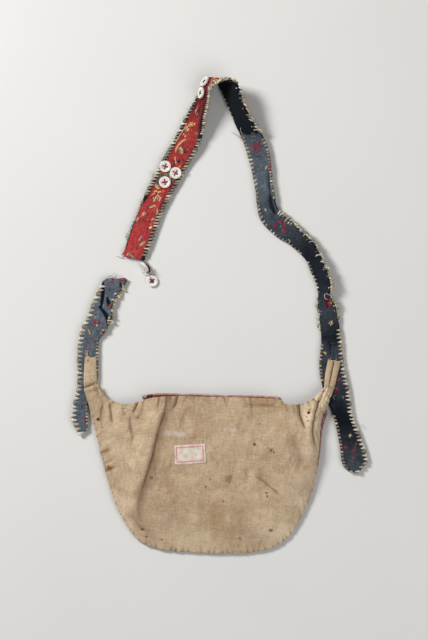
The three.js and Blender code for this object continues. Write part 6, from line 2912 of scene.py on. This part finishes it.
@dataclass(frozen=True)
class Studio:
    """Pale floor, soft light from the upper left, and a camera straight above as in the photograph."""

    distance: float = 3.6
    sensor: float = 36
    view_height: float = MM * PHOTO.mm_per_pixel * PHOTO.height
    far: float = 40
    floor_size: float = 8
    key_spot: tuple[float, float, float] = (-1.15, 0.85, 1.1)
    key_size: float = 0.5
    key_power: float = 41
    fill_spot: tuple[float, float, float] = (1.1, -0.7, 1.2)
    fill_size: float = 1.4
    fill_power: float = 18
    sky: float = 0.18
    sky_colour: Colour = linear(245, 246, 250)

    def floor(self) -> None:
        """Table surface under the bag."""
        deselect_all()
        bpy.ops.mesh.primitive_plane_add(size=self.floor_size, location=(0, 0, 0))
        floor = bpy.context.object
        floor.name = "pale_floor"
        floor.data.materials.append(FloorFinish().material())

    def lamp(self, name: str, spot: tuple[float, float, float], size: float, power: float) -> None:
        """Square soft lamp aimed at the bag.

        Args:
            name: Its name.
            spot: Its place in metres.
            size: Its side in metres.
            power: Its power in watts.
        """
        deselect_all()
        bpy.ops.object.light_add(type="AREA", location=spot)
        lamp = bpy.context.object
        lamp.name = name
        lamp.rotation_euler = (-Vector(spot)).to_track_quat("-Z", "Y").to_euler()
        lamp.data.size = size
        lamp.data.energy = power

    def camera(self) -> None:
        """Camera straight above, with the photograph's frame."""
        centre = PHOTO.plan([(PHOTO.width / 2, PHOTO.height / 2)])[0] * MM
        deselect_all()
        bpy.ops.object.camera_add(location=(centre[0], centre[1], self.distance), rotation=(0, 0, 0))
        camera = bpy.context.object
        camera.data.sensor_width = self.sensor
        camera.data.lens = self.sensor * self.distance / self.view_height
        camera.data.clip_end = self.far
        bpy.context.scene.camera = camera

    def build(self) -> None:
        """Sets the whole studio."""
        self.camera()
        self.floor()
        self.lamp("key_lamp", self.key_spot, self.key_size, self.key_power)
        self.lamp("fill_lamp", self.fill_spot, self.fill_size, self.fill_power)
        world = bpy.data.worlds.new("soft_room")
        world.use_nodes = True
        ground = world.node_tree.nodes["Background"]
        ground.inputs["Color"].default_value = self.sky_colour
        ground.inputs["Strength"].default_value = self.sky
        bpy.context.scene.world = world
        bpy.context.scene.view_settings.view_transform = "Standard"
        LOG.info("studio: camera %.1f m above the bag", self.distance)


def main() -> None:
    """Loads the frame, builds the bag piece by piece, and sets the studio."""
    logging.basicConfig(level=logging.INFO, format="%(message)s")
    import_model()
    Studio().build()
    thread = ThreadFinish("sewing_thread").material()
    backing_cloth = StrapCloth(
        "indigo_backing",
        ground=linear(82, 92, 102),
        pale=linear(122, 128, 132),
        dark=linear(50, 58, 70),
        gloss=0.05,
        layout=Layout.CLOTH,
        patch_scale=60,
        wear=0.8,
        sheen=0.02,
    ).material()
    face_cloth = StrapCloth(
        "red_wool_face",
        ground=linear(170, 54, 52),
        pale=linear(194, 96, 90),
        dark=linear(130, 34, 36),
        hem=linear(84, 92, 84),
        # Colour of the painted shade on the red face.
        shade_and_grime=linear(70, 14, 18),
        layout=Layout.CLOTH,
        patch_scale=70,
        wear=0.5,
        sheen=0.06,
        gloss=0.05,
    ).material()
    pouch = Pouch(
        cotton=StainedCotton(
            "stained_cotton",
            ground=linear(180, 157, 129),
            pale=linear(212, 194, 168),
            dark=linear(140, 112, 82),
            patch_scale=26,
            mottle_scale=80,
            wear=0.42,
            sheen=0.05,
            gloss=0.06,
            painted_light=COTTON_PAINTED_LIGHT,
            spots=COTTON_SPOTS,
            tints=COTTON_TINTS,
            smears=COTTON_SMEARS,
        ).material(),
        crimson=WovenFinish(
            "crimson_cotton", ground=linear(168, 74, 86), pale=linear(206, 146, 142), dark=linear(120, 42, 54)
        ).material(),
        binding_cloth=BindingFinish(
            "red_binding",
            ground=linear(138, 40, 50),
            pale=linear(168, 84, 88),
            dark=linear(112, 36, 42),
            layout=Layout.CLOTH,
        ).material(),
        paper=PaperFinish("label_paper").material(),
        thread=thread,
    )
    pouch.build()
    long_strap = Strap(
        "long", LONG_STRAP, LONG_FOLDS, LONG_EDGES, FACE_STROKES, LONG_BACK_STROKES,
        backing_cloth, face_cloth, thread, seed=101, flat_backing=(0.029, 0.515), flat_face=(0.017, 0.51),
        torn_hem=((145, 200), (142, 206)),
        satin_run=((131, 253), (202, 100)),
        dark_stretch=((245, 134), (206, 96)),
        face_end=((-1, -2.8), (-0.7, -0.4), (-0.3, 1.2), (0.1, 2.2), (0.5, 1.5), (1, -1.6)),
        backing_end=((-1, -2.6), (0.4, -2.4), (0.7, -0.6), (1, 1.6)),
        face_band=((163, 183), (166, 172)),
        backing_shades=LONG_BACK_SHADES,
        face_shades=RED_SHADES,
        worn_hole=((328.6, 303), (2.9, 4.8)),
    )
    long_strap.build()
    short_strap = Strap(
        "short", SHORT_STRAP, SHORT_FOLDS, SHORT_EDGES, {}, SHORT_BACK_STROKES,
        backing_cloth, face_cloth, thread, seed=201, flat_backing=(0.026, 0.142), flat_face=(0.015, 0.135),
        backing_shades=SHORT_BACK_SHADES,
        gaps=SHORT_GAPS,
        face_end=((-1, -4.2), (-0.4, -2.2), (0.2, -2.6), (0.5, -3.6), (1, -2.4)),
        backing_end=(
            (-1, -3.4), (-0.85, -1.2), (-0.6, 0.9), (-0.3, 1.9), (0, 1.5), (0.2, 0.5), (0.45, -1.6),
            (0.7, 0.6), (1, 0.2),
        ),
        crumpled=0.6,
    )
    short_strap.build()
    Buttons(long_strap, ButtonFinish("white_glaze").material(), thread).build()
    loose_threads(thread)
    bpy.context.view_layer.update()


if __name__ == "__main__":
    main()
